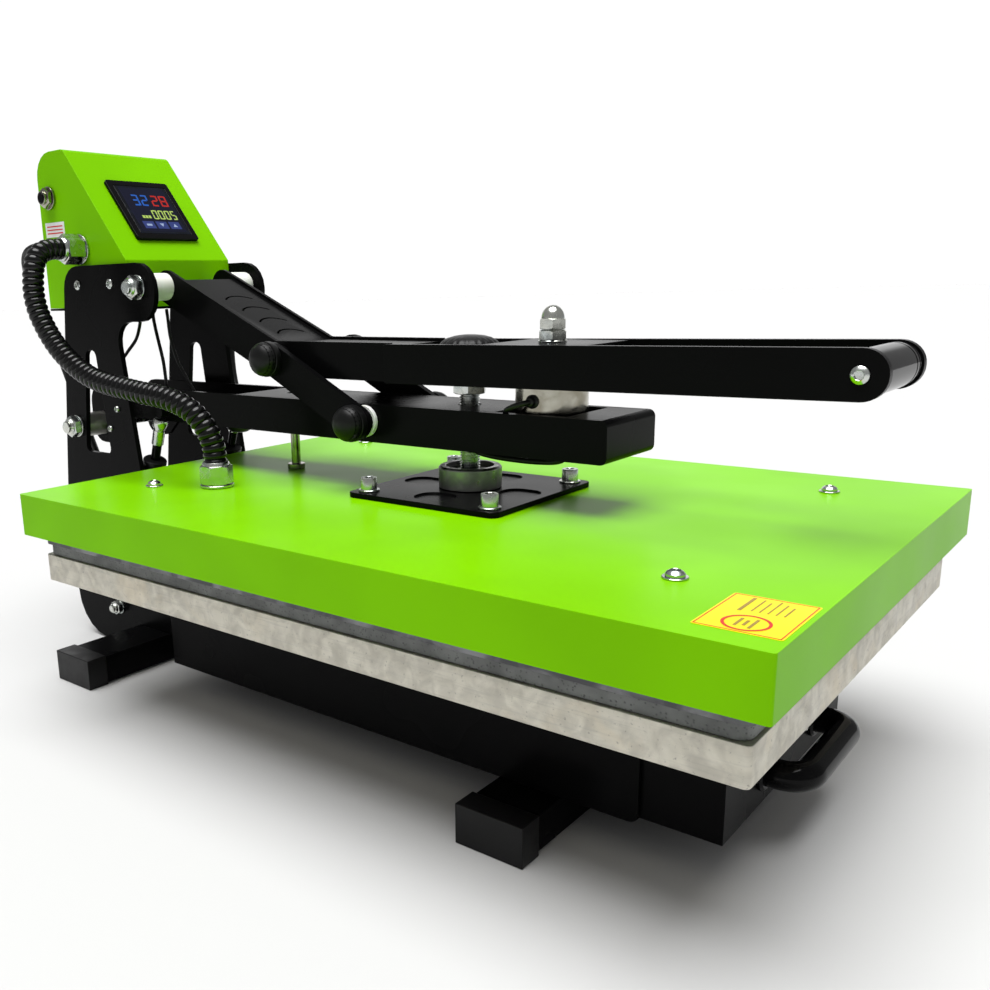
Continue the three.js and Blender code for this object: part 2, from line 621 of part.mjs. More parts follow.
// A gland of a thin flange, a hexagon and a round nose, pointing away from a wall.
function gland(axis, sign, wallAt, centre, { acrossFlats, flangeR, noseR, length, bore }) {
  const at = (near, far) => [wallAt + sign * near, wallAt + sign * far].sort((a, b) => a - b);
  const body = join(
    bar(axis, flangeR, at(GAP, 3), centre),
    nut(axis, acrossFlats, at(3, length - 4), centre),
    bar(axis, noseR, at(length - 4, length), centre),
  );
  return bore ? cut(body, bar(axis, bore, at(length - 6, length + 5), centre, 24)) : body;
}

// The conduit leaves the box sideways, drops in one bow past the side plate and comes down on the cover.
const CONDUIT_ROUTE = [
  [-82, 413, 398.5], [-88, 413, 398.5], [-98, 412.5, 398], [-109, 411, 394], [-116, 409.5, 385.5],
  [-119.5, 408.5, 374], [-121.5, 407, 356], [-121.5, 401, 338], [-120, 384, 314], [-119, 362, 297],
  [-117.5, 332, 283],
  [-116, 302, 277], [-113, 264, 272], [-110, 234, 268], [-106, 210, 259], [-102, 197, 245],
  [-99, 192.5, 230], [-98, 192, 219], [-98, 192, 213],
];

const MAGNET_CABLE_ROUTE = [
  [81, 414, 398], [86, 414, 398], [93, 411, 397], [98, 401, 393], [98, 386, 385], [97, 369, 381.5],
  [96, 354, 379.5], [96, 341, 371], [95, 334, 353], [91, 325, 326], [80, 308, 301], [60, 291, 288],
  [40, 279, 280], [25, 268, 266], [19, 262, 253], [19, 261, 239.5],
];

const SENSOR_WIRE_ROUTE = [
  [-20, 365, 339.5], [-20, 365, 333], [-20, 363, 322], [-21, 358, 308], [-22, 352, 290], [-22, 350, 270],
  [-21, 350, 252], [-21, 350, 239],
];

// The mains cord leaves the back of the box, turns down behind the side plates to the floor and runs
// to a coil lying behind the press.
const CORD_ROUTE = [
  [-50, 504.6, 405], [-50, 509, 405], [-50, 517, 405], [-49.5, 528, 403], [-47, 541, 397], [-42, 551, 385],
  [-35, 556, 368], [-25, 557, 340], [-12, 556, 300], [2, 554, 250], [16, 552, 200], [30, 549, 150],
  [44, 543, 100], [57, 536.5, 60], [72, 529, 30], [90, 522.5, 11], [110, 519.6, 4.8],
  [128, 519.3, 4.2], [147, 519.3, 4.2],
];

function buildCables() {
  add('conduit_gland_box', gland('x', -1, -BOX.halfX, CONDUIT_TOP,
    { acrossFlats: 25, flangeR: 14.5, noseR: 11.5, length: 24, bore: CONDUIT_R + 0.5 }), ZINC);
  add('conduit_gland_cover', gland('z', 1, COVER.top, CONDUIT_FOOT,
    { acrossFlats: 25, flangeR: 14.5, noseR: 11.5, length: 22, bore: CONDUIT_R + 0.5 }), ZINC);
  add('conduit', cord(CONDUIT_ROUTE, CONDUIT_R, 46, 10), GLOSS_BLACK);

  add('cable_gland', gland('x', 1, BOX.halfX, CABLE_EXIT,
    { acrossFlats: 15, flangeR: 9, noseR: 7, length: 18 }), PLASTIC);
  add('magnet_cable', cord(MAGNET_CABLE_ROUTE, 4.4, 32), GLOSS_BLACK);
  add('sensor_wire', cord(SENSOR_WIRE_ROUTE, 1.7, 14), GLOSS_BLACK);

  const wall = BOX.rearY + GAP;
  const exit = { x: CORD_EXIT.x, z: CORD_EXIT.z };
  const relief = turned('y', [
    [0, wall], [10, wall], [10, wall + 3], [8, wall + 5], [7.5, wall + 9], [5, wall + 26], [0, wall + 26],
  ], exit, 24);
  add('mains_gland', relief, PLASTIC);
  add('mains_cord', cord(CORD_ROUTE, CORD_R, 64), GLOSS_BLACK);

  const ring = new THREE.LatheGeometry([
    new THREE.Vector2(COIL.inner, 0.2), new THREE.Vector2(COIL.outer, 0.2),
    new THREE.Vector2(COIL.outer, COIL.height), new THREE.Vector2(COIL.inner, COIL.height),
    new THREE.Vector2(COIL.inner, 0.2),
  ], 32);
  alongAxis(ring, 'z');
  ring.translate(COIL.x, COIL.y, 0);
  add('mains_coil', ring, GLOSS_BLACK);

  const { y, z, from, bodyFrom, bodyTo, pinTo } = PLUG;
  add('mains_plug', join(
    turned('x', [
      [0, from], [5, from], [6.5, bodyFrom + 6], [12, bodyFrom], [12, bodyTo + 2], [10, bodyTo], [0, bodyTo],
    ], { y, z }),
    ...[-9.5, 9.5].map((apart) => bar('x', 2, [pinTo, bodyTo + 1], { y: y + apart, z }, 12)),
  ), PLASTIC);
}

// ---------------------------------------------------------------- assembly

buildFeet();
buildBase();
buildSidePlates();
buildPivots();
buildDrawer();
buildDrawerHandle();
buildLowerArm();
buildPlaten();
buildSpindle();
buildHandleArm();
buildLinks();
buildGasSprings();
buildControlBox();
buildBreaker();
buildCables();

press.position.y = (COVER.halfY - BOX.rearY) / 2;
press.updateMatrixWorld(true);

export default press;
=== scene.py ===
"""Looks of the clamshell heat press: materials, fasteners, cables and trim round its CAD frame.

Metres, +Z up, the operator stands at -Y. The press is laid out about its pressure spindle, so `at`
turns millimetres from the spindle axis into a point of the row frame.
"""

import json
import math

import bmesh
import bpy
from mathutils import Matrix, Vector
from mathutils.geometry import interpolate_bezier


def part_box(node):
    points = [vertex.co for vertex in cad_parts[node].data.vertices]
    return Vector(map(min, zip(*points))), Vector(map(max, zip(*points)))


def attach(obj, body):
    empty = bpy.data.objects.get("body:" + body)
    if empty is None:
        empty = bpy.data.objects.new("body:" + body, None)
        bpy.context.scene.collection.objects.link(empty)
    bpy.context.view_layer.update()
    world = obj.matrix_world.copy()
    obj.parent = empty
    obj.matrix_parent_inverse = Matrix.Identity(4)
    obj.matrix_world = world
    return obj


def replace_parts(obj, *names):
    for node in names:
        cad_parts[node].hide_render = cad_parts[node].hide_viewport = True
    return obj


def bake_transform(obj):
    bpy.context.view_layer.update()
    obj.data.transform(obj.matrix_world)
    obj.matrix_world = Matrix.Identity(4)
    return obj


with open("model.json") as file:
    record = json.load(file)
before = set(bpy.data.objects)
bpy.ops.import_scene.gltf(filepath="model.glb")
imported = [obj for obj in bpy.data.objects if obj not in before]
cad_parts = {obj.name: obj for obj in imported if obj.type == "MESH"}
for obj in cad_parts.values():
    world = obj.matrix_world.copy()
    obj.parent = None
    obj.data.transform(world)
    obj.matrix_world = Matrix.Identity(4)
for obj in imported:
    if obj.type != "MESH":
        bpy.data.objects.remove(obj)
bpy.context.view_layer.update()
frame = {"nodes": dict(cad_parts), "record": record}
NODES = frame["nodes"]

MM = 0.001
HUB_LOW, HUB_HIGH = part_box("hub")
SPINDLE_Y = (HUB_LOW.y + HUB_HIGH.y) / 2
LEFT_RIGHT = (("l", -1), ("r", 1))
X_AXIS, Y_AXIS, Z_AXIS = Vector((1, 0, 0)), Vector((0, 1, 0)), Vector((0, 0, 1))


def at(x, y, z):
    """A point given in millimetres from the spindle axis on the bench."""
    return Vector((x * MM, SPINDLE_Y + y * MM, z * MM))


# ------------------------------------------------------------------ camera

def make_camera():
    """A phone held low at the press's front left corner, so the view is wide and slightly rolled."""
    yaw, pitch, roll = math.radians(49.25), math.radians(-13.7), math.radians(-1.64)
    forward = Vector((math.sin(yaw) * math.cos(pitch), math.cos(yaw) * math.cos(pitch), math.sin(pitch)))
    level = forward.cross(Z_AXIS).normalized()
    above = level.cross(forward)
    right = math.cos(roll) * level + math.sin(roll) * above
    up = -math.sin(roll) * level + math.cos(roll) * above
    data = bpy.data.cameras.new("camera")
    data.sensor_width = 36
    data.lens = 35.68
    data.shift_x = 0.118
    data.shift_y = 0.0315
    data.clip_start = 0.02
    camera = bpy.data.objects.new("camera", data)
    bpy.context.scene.collection.objects.link(camera)
    camera.matrix_world = Matrix.Translation(at(-628.3, -443.5, 355.35)) @ Matrix(
        (right, up, -forward)).transposed().to_4x4()
    bpy.context.scene.camera = camera


# ------------------------------------------------------------------ materials

def set_range(remap, low, high, to_low, to_high):
    """Makes a Map Range node ease from one range into another, and returns its result."""
    remap.interpolation_type = "SMOOTHSTEP"
    for name, number in zip(("From Min", "From Max", "To Min", "To Max"), (low, high, to_low, to_high)):
        remap.inputs[name].default_value = number
    return remap.outputs["Result"]


class Look:
    """A material being built: a Principled shader and short calls for the nodes that feed it."""

    def __init__(self, name, colour, roughness, **sockets):
        self.material = bpy.data.materials.new(name)
        self.material.use_nodes = True
        self.nodes = self.material.node_tree.nodes
        self.links = self.material.node_tree.links
        self.shader = self.nodes["Principled BSDF"]
        self.place = self.nodes.new("ShaderNodeTexCoord").outputs["Object"]
        self.feed(Base_Color=(*colour, 1), Roughness=roughness, **sockets)

    def join(self, socket, value):
        """Links a socket to another one, or gives it a plain value."""
        if isinstance(value, bpy.types.NodeSocket):
            self.links.new(value, socket)
        else:
            socket.default_value = value

    def feed(self, **sockets):
        """Joins values to the shader's sockets, named with underscores for their spaces."""
        for name, value in sockets.items():
            self.join(self.shader.inputs[name.replace("_", " ")], value)
        return self

    def stretched(self, x, y, z):
        """The object's coordinates scaled along each axis."""
        mapping = self.nodes.new("ShaderNodeMapping")
        self.links.new(self.place, mapping.inputs["Vector"])
        mapping.inputs["Scale"].default_value = (x, y, z)
        return mapping.outputs["Vector"]

    def noise(self, scale, detail=2.0, distortion=0.0, place=None):
        """Cloudy noise from 0 to 1, with the scale per metre."""
        texture = self.nodes.new("ShaderNodeTexNoise")
        self.links.new(place or self.place, texture.inputs["Vector"])
        texture.inputs["Scale"].default_value = scale
        texture.inputs["Detail"].default_value = detail
        texture.inputs["Distortion"].default_value = distortion
        return texture.outputs["Fac"]

    def cells(self, scale):
        """Distance to the nearest of many scattered points."""
        texture = self.nodes.new("ShaderNodeTexVoronoi")
        self.links.new(self.place, texture.inputs["Vector"])
        texture.inputs["Scale"].default_value = scale
        return texture.outputs["Distance"]

    def between(self, value, low, high, to_low=0.0, to_high=1.0):
        """A value eased from its own range, low to high, into the wanted one."""
        remap = self.nodes.new("ShaderNodeMapRange")
        self.links.new(value, remap.inputs["Value"])
        return set_range(remap, low, high, to_low, to_high)

    def blend(self, share, first, second):
        """The first colour, with a share of the second."""
        mix = self.nodes.new("ShaderNodeMix")
        mix.data_type = "RGBA"
        self.join(mix.inputs["Factor"], share)
        for name, colour in (("A", first), ("B", second)):
            socket = next(s for s in mix.inputs if s.name == name and s.type == "RGBA")
            self.join(socket, (*colour, 1) if isinstance(colour, tuple) else colour)
        return next(s for s in mix.outputs if s.type == "RGBA")

    def bump(self, *layers):
        """Each layer is a height socket and how tall it stands in millimetres."""
        normal = None
        for height, tall in layers:
            bump = self.nodes.new("ShaderNodeBump")
            bump.inputs["Distance"].default_value = tall * MM
            self.links.new(height, bump.inputs["Height"])
            if normal:
                self.links.new(normal, bump.inputs["Normal"])
            normal = bump.outputs["Normal"]
        self.links.new(normal, self.shader.inputs["Normal"])
        return self


def shade(colour, factor):
    """The colour made darker or lighter by a factor."""
    return tuple(min(1.0, channel * factor) for channel in colour)


def powder_coat(name, colour, roughness, peel, specular):
    """Baked powder: an orange-peel skin, faint cloudiness and a gloss that wanders a little."""
    look = Look(name, colour, roughness, Specular_IOR_Level=specular)
    cloudy = look.between(look.noise(9, 2), 0.35, 0.65)
    look.feed(Base_Color=look.blend(cloudy, shade(colour, 0.95), shade(colour, 1.04)))
    look.feed(Roughness=look.between(look.noise(12, 2), 0.3, 0.7, roughness - 0.025, roughness + 0.03))
    look.bump((look.noise(520, 2), peel), (look.noise(1500, 1), peel * 0.4))
    return look.material


def bright_metal(name, colour, tint, roughness, grain=None):
    """Plated or turned metal: a slight tint that wanders, handling marks and an optional grain."""
    look = Look(name, colour, roughness, Metallic=1.0)
    look.feed(Base_Color=look.blend(look.between(look.noise(70, 3, 0.5), 0.35, 0.65), colour, tint))
    look.feed(Roughness=look.between(look.noise(160, 4), 0.3, 0.7, roughness * 0.7, roughness * 1.4))
    layers = [(look.noise(900, 3), 0.012)]
    if grain:
        layers.append((look.noise(260, 2, place=look.stretched(*grain)), 0.02))
    look.bump(*layers)
    return look.material


def moulded(name, colour, roughness, skin, scale=900, **sockets):
    """Moulded plastic or rubber: a fine skin, slight unevenness and a few duller patches."""
    look = Look(name, colour, roughness, **sockets)
    look.feed(Base_Color=look.blend(look.between(look.noise(30, 3), 0.35, 0.65), colour, shade(colour, 1.35)))
    look.feed(Roughness=look.between(look.noise(80, 3), 0.3, 0.7, roughness * 0.85, roughness * 1.2))
    look.bump((look.noise(scale, 2), skin))
    return look.material


def cast_aluminium():
    """Raw cast plate: a fine warm and grey mottle, darker draw marks along its sides and small pits."""
    look = Look("cast_aluminium", (0.4, 0.38, 0.33), 0.5, Metallic=0.55)
    grain = look.between(look.noise(85, 6, 0.6), 0.3, 0.7)
    mottle = look.blend(grain, (0.49, 0.465, 0.4), (0.66, 0.63, 0.54))
    warm = look.blend(look.between(look.noise(28, 4, 0.8), 0.5, 0.75, 0, 0.5), mottle, (0.68, 0.6, 0.46))
    drawn = look.noise(70, 3, place=look.stretched(0.35, 0.35, 9))
    streaked = look.blend(look.between(drawn, 0.5, 0.75, 0, 0.3), warm, (0.36, 0.35, 0.32))
    pitted = look.between(look.noise(420, 2), 0.62, 0.78, 0, 0.6)
    look.feed(Base_Color=look.blend(pitted, streaked, (0.2, 0.195, 0.18)))
    look.feed(Roughness=look.between(look.noise(90, 5), 0.3, 0.7, 0.4, 0.62))
    look.bump((look.noise(260, 5), 0.1), (drawn, 0.05))
    return look.material


def silicone_sponge():
    """Grey silicone sheet peppered with fine pores, each pore darkened with painted shade."""
    grey = (0.16, 0.165, 0.16)
    look = Look("silicone_sponge", grey, 0.6, Specular_IOR_Level=0.25)
    pores = look.cells(430)
    cloud = look.blend(look.between(look.noise(40, 4), 0.35, 0.65), shade(grey, 0.8), shade(grey, 1.25))
    # The darker grey in the pores is painted shade inside the holes; the cloud around them is random tone.
    look.feed(Base_Color=look.blend(look.between(pores, 0.1, 0.35), shade(grey, 0.6), cloud))
    look.bump((look.between(pores, 0.05, 0.4), 0.2), (look.noise(700, 3), 0.04))
    return look.material


def shaded_heater_sides():
    """The heated plate's sides, coloured dark as painted shade for the band under the cover's edge, lighter
    and darker in patches.
    """
    look = Look("shaded_heater_sides", (0.12, 0.12, 0.125), 0.42, Metallic=0.5)
    # Dark base colour: painted shade for the band under the cover's edge; the patches are random tone.
    look.feed(Base_Color=look.blend(
        look.between(look.noise(35, 4, 0.6), 0.4, 0.7), (0.07, 0.07, 0.075), (0.24, 0.24, 0.25)))
    look.bump((look.noise(300, 4), 0.05))
    return look.material


def fibre_board():
    """Pale insulation board with matted strands."""
    look = Look("fibre_board", (0.6, 0.58, 0.52), 0.95, Specular_IOR_Level=0.1)
    strands = look.noise(180, 4, 1.5, look.stretched(1, 1, 4))
    look.feed(Base_Color=look.blend(look.between(strands, 0.35, 0.65), (0.45, 0.43, 0.38), (0.7, 0.68, 0.62)))
    look.bump((strands, 0.3))
    return look.material


def display_glass():
    """A dark window with a faint blue glow from the panel behind it."""
    look = Look("display_glass", (0.003, 0.004, 0.008), 0.12, Specular_IOR_Level=0.2)
    look.feed(Base_Color=look.blend(look.between(look.noise(60, 3), 0.35, 0.65),
                                    (0.002, 0.003, 0.006), (0.004, 0.006, 0.014)))
    look.bump((look.noise(400, 2), 0.004))
    return look.material


def lamp(name, colour):
    """A lit display segment, a little uneven as a diffused lamp is."""
    look = Look(name, shade(colour, 0.2), 0.3, Emission_Strength=1, Specular_IOR_Level=0.15)
    uneven = look.between(look.noise(900, 2), 0.3, 0.7)
    look.feed(Emission_Color=look.blend(uneven, shade(colour, 0.8), colour))
    return look.material


def label_film(name, colour):
    """Printed vinyl: nearly flat colour under a slightly rippled gloss film."""
    look = Look(name, colour, 0.4, Specular_IOR_Level=0.2, Coat_Weight=0.1, Coat_Roughness=0.2)
    uneven = look.between(look.noise(120, 3), 0.35, 0.65)
    look.feed(Base_Color=look.blend(uneven, shade(colour, 0.93), colour))
    look.bump((look.noise(90, 2), 0.05))
    return look.material


GREEN = (0.185, 0.53, 0.0003)
BLACK = (0.003, 0.003, 0.0032)

LOOKS = {
    "green_paint": powder_coat("green_powder_coat", GREEN, 0.3, 0.01, 0.04),
    "black_paint": powder_coat("black_powder_coat", BLACK, 0.26, 0.008, 0.035),
    "gloss_black": moulded("gloss_black_plastic", (0.0028, 0.0028, 0.003), 0.09, 0.002,
                           Specular_IOR_Level=0.09),
    "black_plastic": moulded("matt_black_plastic", (0.005, 0.005, 0.0052), 0.36, 0.015,
                             Specular_IOR_Level=0.2),
    "zinc": bright_metal("zinc_plate", (0.52, 0.56, 0.55), (0.62, 0.63, 0.58), 0.22),
    "chrome": bright_metal("chrome_plate", (0.4, 0.39, 0.33), (0.24, 0.225, 0.175), 0.14, (22, 22, 1)),
    "cast_aluminium": cast_aluminium(),
    "heater_metal": shaded_heater_sides(),
    "steel": bright_metal("turned_steel", (0.6, 0.59, 0.55), (0.72, 0.7, 0.66), 0.5, (14, 1, 1)),
    "silicone": silicone_sponge(),
    "insulation": fibre_board(),
    "nylon": moulded("white_nylon", (0.88, 0.89, 0.8), 0.4, 0.01),
    "conduit_plastic": moulded("conduit_plastic", (0.0028, 0.0028, 0.003), 0.17, 0.006, 500,
                               Specular_IOR_Level=0.3),
    "cord_rubber": moulded("cord_jacket", (0.005, 0.005, 0.0053), 0.36, 0.015, 1400, Specular_IOR_Level=0.25),
    "display_glass": display_glass(),
}
DARK_STEEL = bright_metal("blackened_steel", (0.26, 0.26, 0.255), (0.34, 0.34, 0.325), 0.38, (1, 1, 14))
SCREEN_BLUE = lamp("blue_digits", (0.02, 0.1, 0.42))
SCREEN_RED = lamp("red_digits", (0.42, 0.02, 0.015))
SCREEN_LIME = lamp("lime_digits", (0.4, 0.55, 0.12))
SCREEN_KEYS = lamp("key_blue", (0.03, 0.045, 0.17))
SCREEN_GLYPH = lamp("key_glyph", (0.3, 0.38, 0.55))
SCREEN_FIELD = lamp("lit_field", (0.004, 0.005, 0.018))
LABEL_YELLOW = label_film("yellow_film", (0.86, 0.66, 0.0))
LABEL_RED = label_film("red_ink", (0.62, 0.02, 0.01))
LABEL_BROWN = label_film("brown_ink", (0.3, 0.2, 0.03))
LABEL_WHITE = label_film("white_film", (0.8, 0.8, 0.79))


# ------------------------------------------------------------------ mesh helpers

def place(mesh_or_bmesh, name, look, body, sharp=35):
    """Makes a piece from a mesh drawn in the row frame and lets it ride on a CAD body.

    A look given by name is looked up among the looks and becomes the piece's material."""
    if isinstance(mesh_or_bmesh, bmesh.types.BMesh):
        mesh = bpy.data.meshes.new(name)
        mesh_or_bmesh.to_mesh(mesh)
        mesh_or_bmesh.free()
    else:
        mesh = mesh_or_bmesh
    mesh.polygons.foreach_set("use_smooth", [True] * len(mesh.polygons))
    mesh.set_sharp_from_angle(angle=math.radians(sharp))
    mesh.materials.clear()
    mesh.materials.append(LOOKS[look] if isinstance(look, str) else look)
    piece = bpy.data.objects.new(name, mesh)
    bpy.context.scene.collection.objects.link(piece)
    if body:
        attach(piece, body)
    return piece


def basis(origin, axis):
    """A matrix whose Z runs along the axis, with its foot at the origin point."""
    rotation = Vector(axis).to_track_quat("Z", "Y").to_matrix().to_4x4()
    return Matrix.Translation(origin) @ rotation


def lathe(profile, origin, axis, sides=48, bm=None, flutes=(0, 0.0), bored=False):
    """A turned solid from (radius, height) pairs in millimetres, with flutes of a share of its radius.

    A bored one is a ring: its profile goes round and joins its own start."""
    bm = bm or bmesh.new()
    frame_of = basis(origin, axis)
    rings = []
    for radius, height in profile:
        if radius < 1e-6:
            rings.append([bm.verts.new(frame_of @ Vector((0, 0, height * MM)))])
            continue
        ring = []
        for i in range(sides):
            a = 2 * math.pi * i / sides
            reach = radius * (1 - flutes[1] * (1 - math.cos(flutes[0] * a)))
            ring.append(bm.verts.new(frame_of @ (
                Vector((reach * math.cos(a), reach * math.sin(a), height)) * MM)))
        rings.append(ring)
    for low, high in zip(rings, rings[1:] + rings[:bored]):
        for i in range(sides):
            j = (i + 1) % sides
            if len(low) == 1:
                bm.faces.new((low[0], high[j], high[i]))
            elif len(high) == 1:
                bm.faces.new((low[i], low[j], high[0]))
            else:
                bm.faces.new((low[i], low[j], high[j], high[i]))
    for ring, flip in ((rings[0], True), (rings[-1], False)):
        if len(ring) > 1 and not bored:
            bm.faces.new(reversed(ring) if flip else ring)
    return bm


def spline(points, step):
    """A smooth curve through the points, as points a step apart."""
    dense = [points[0]]
    for i in range(len(points) - 1):
        before = points[i - 1] if i else points[i] * 2 - points[i + 1]
        after = points[i + 2] if i + 2 < len(points) else points[i + 1] * 2 - points[i]
        span = (points[i + 1] - points[i]).length
        near = points[i + 1] - before
        far = after - points[i]
        dense += interpolate_bezier(
            points[i], points[i] + near * (span / max(near.length, 1e-9) / 3),
            points[i + 1] - far * (span / max(far.length, 1e-9) / 3), points[i + 1], 16)[1:]
    return resample(dense, step)


def resample(dense, step):
    """Points about a step apart along a line of points."""
    lengths = [(b - a).length for a, b in zip(dense, dense[1:])]
    total = sum(lengths)
    count = max(2, round(total / step))
    wanted = [total * i / count for i in range(count + 1)]
    out, travelled, i = [], 0.0, 0
    for goal in wanted:
        while i < len(lengths) - 1 and travelled + lengths[i] < goal:
            travelled += lengths[i]
            i += 1
        share = (goal - travelled) / max(lengths[i], 1e-12)
        out.append(dense[i].lerp(dense[i + 1], min(1.0, share)))
    return out


def tube(path, radius_at, sides=16, bm=None):
    """A closed tube along the path. radius_at gives the radius in metres at a distance along it."""
    bm = bm or bmesh.new()
    last = len(path) - 1
    tangents = [(path[min(i + 1, last)] - path[max(i - 1, 0)]).normalized() for i in range(last + 1)]
    across = tangents[0].orthogonal().normalized()
    rings, travelled = [], 0.0
    for i, (point, tangent) in enumerate(zip(path, tangents)):
        if i:
            travelled += (point - path[i - 1]).length
            across = (across - tangent * across.dot(tangent)).normalized()
        other = tangent.cross(across)
        radius = radius_at(travelled)
        rings.append([bm.verts.new(point + radius * (
            math.cos(2 * math.pi * k / sides) * across + math.sin(2 * math.pi * k / sides) * other))
            for k in range(sides)])
    return skin(rings, bm)


def skin(rings, bm, bored=False):
    """Closes a row of rings of vertices into one solid, by its two ends or round through a bore."""
    for low, high in zip(rings, rings[1:] + rings[:bored]):
        for i in range(len(low)):
            j = (i + 1) % len(low)
            bm.faces.new((low[i], low[j], high[j], high[i]))
    if not bored:
        bm.faces.new(list(reversed(rings[0])))
        bm.faces.new(rings[-1])
    return bm


def hex_nut(across, height, origin, axis, bm=None, bore=0):
    """A nut's hexagon with the round chamfers it has at both ends, in millimetres."""
    bm = bm or bmesh.new()
    sides = 48
    frame_of = basis(origin, axis)
    sixth = math.pi / 3
    face = 0.47 * across
    rings = []
    for on_side, at_head in ((False, False), (True, False), (True, True), (False, True)):
        ring = []
        for i in range(sides):
            a = 2 * math.pi * i / sides
            reach = across / 2 / math.cos((a + sixth / 2) % sixth - sixth / 2) if on_side else face
            fall = (reach - face) * math.tan(sixth / 2)
            z = height - fall if at_head else fall
            ring.append(bm.verts.new(frame_of @ (Vector((reach * math.cos(a), reach * math.sin(a), z)) * MM)))
        rings.append(ring)
    if bore:
        rings += [[bm.verts.new(frame_of @ (Vector((bore * math.cos(a), bore * math.sin(a), z)) * MM))
                   for a in (2 * math.pi * i / sides for i in range(sides))] for z in (height, 0)]
    return skin(rings, bm, bool(bore))


def threaded_rod(radius, pitch, length, origin, axis):
    """A rod whose helical thread has a crest and a root in each pitch, in millimetres."""
    bm = bmesh.new()
    sides = 24
    frame_of = basis(origin, axis)
    depth = 0.55 * pitch
    root = radius - depth
    shape = ((root, 0.0), (radius, 0.38 * pitch), (radius, 0.5 * pitch), (root, 0.88 * pitch))
    steps = int(length / pitch) * sides
    strands = []
    for reach, lift in shape:
        strand = []
        for n in range(steps):
            a = 2 * math.pi * n / sides
            point = Vector((reach * math.cos(a), reach * math.sin(a), min(length, lift + pitch * n / sides)))
            strand.append(bm.verts.new(frame_of @ (point * MM)))
        strands.append(strand)
    for low, high in zip(strands, strands[1:]):
        for n in range(steps - 1):
            bm.faces.new((low[n], low[n + 1], high[n + 1], high[n]))
    for n in range(steps - sides - 1):
        bm.faces.new((strands[-1][n], strands[-1][n + 1], strands[0][n + 1 + sides], strands[0][n + sides]))
    return bm


def socket_screw(radius, height, origin, axis, bm=None, domed=False):
    """A round screw head with a key socket in its top, plain or domed, in millimetres."""
    socket, shoulder = 0.5 * radius, (0.45 if domed else 0.88) * height
    return lathe([
        (radius, 0), (radius, shoulder), (radius * (0.82 if domed else 0.93), height * (0.8 if domed else 1)),
        (socket + 0.3, height), (socket, height - 0.3), (socket, 0.35 * height), (0, 0.3 * height),
    ], origin, axis, 32, bm)


def washer(outer, thick, origin, axis, bm=None):
    """A washer as a solid disc with eased edges, in millimetres. Its bore is never in view."""
    profile = [(outer - 0.3, 0), (outer, 0.3), (outer, thick - 0.3), (outer - 0.3, thick)]
    return lathe(profile, origin, axis, 40, bm)


def prism(outline, origin, axis_u, axis_v, depth, bm=None):
    """A flat outline of (u, v) pairs in millimetres, given a depth along u x v."""
    bm = bm or bmesh.new()
    axis_u, axis_v = Vector(axis_u), Vector(axis_v)
    out = axis_u.cross(axis_v)
    foot = [bm.verts.new(origin + (axis_u * u + axis_v * v) * MM) for u, v in outline]
    head = [bm.verts.new(v.co + out * depth * MM) for v in foot]
    bm.faces.new(list(reversed(foot)))
    bm.faces.new(head)
    for i in range(len(foot)):
        j = (i + 1) % len(foot)
        bm.faces.new((foot[i], foot[j], head[j], head[i]))
    return bm


def rounded(half_u, half_v, radius, steps=6):
    """A rectangle's outline with round corners, about its centre."""
    points = []
    for corner, (su, sv) in enumerate(((1, 1), (-1, 1), (-1, -1), (1, -1))):
        for k in range(steps + 1):
            a = math.pi / 2 * (corner + k / steps)
            points.append((su * (half_u - radius) + radius * math.cos(a),
                           sv * (half_v - radius) + radius * math.sin(a)))
    return points


# ------------------------------------------------------------------ CAD nodes that stay

def smoothing_group():
    """Welds a node's triangles and turns smooth shading on, as a modifier that leaves its mesh alone."""
    group = bpy.data.node_groups.new("weld_and_smooth", "GeometryNodeTree")
    group.interface.new_socket("Geometry", in_out="INPUT", socket_type="NodeSocketGeometry")
    group.interface.new_socket("Geometry", in_out="OUTPUT", socket_type="NodeSocketGeometry")
    source = group.nodes.new("NodeGroupInput")
    result = group.nodes.new("NodeGroupOutput")
    weld = group.nodes.new("GeometryNodeMergeByDistance")
    weld.inputs["Distance"].default_value = 0.01 * MM
    smooth = group.nodes.new("GeometryNodeSetShadeSmooth")
    group.links.new(source.outputs[0], weld.inputs["Geometry"])
    group.links.new(weld.outputs["Geometry"], smooth.inputs["Geometry"])
    group.links.new(smooth.outputs["Geometry"], result.inputs[0])
    return group


SMOOTHING = smoothing_group()


def keep(node, edge=0.6, look=None):
    """A CAD node stays as it is, with its material and softened edges of that width in millimetres."""
    piece = NODES[node]
    slot = next(s["material_slot"] for s in frame["record"]["subparts"] if s["node"] == node)
    piece.data.materials.clear()
    piece.data.materials.append(look or LOOKS[slot])
    piece.modifiers.new("smooth", "NODES").node_group = SMOOTHING
    flat = piece.modifiers.new("flat", "DECIMATE")
    flat.decimate_type = "DISSOLVE"
    flat.angle_limit = math.radians(0.6)
    if edge:
        bevel = piece.modifiers.new("edges", "BEVEL")
        bevel.width = edge * MM
        bevel.segments = 3
        bevel.limit_method = "ANGLE"
        bevel.angle_limit = math.radians(40)
        bevel.harden_normals = False
    weighted = piece.modifiers.new("normals", "WEIGHTED_NORMAL")
    weighted.keep_sharp = False
    weighted.weight = 80
    return piece


# ------------------------------------------------------------------ cords and cables

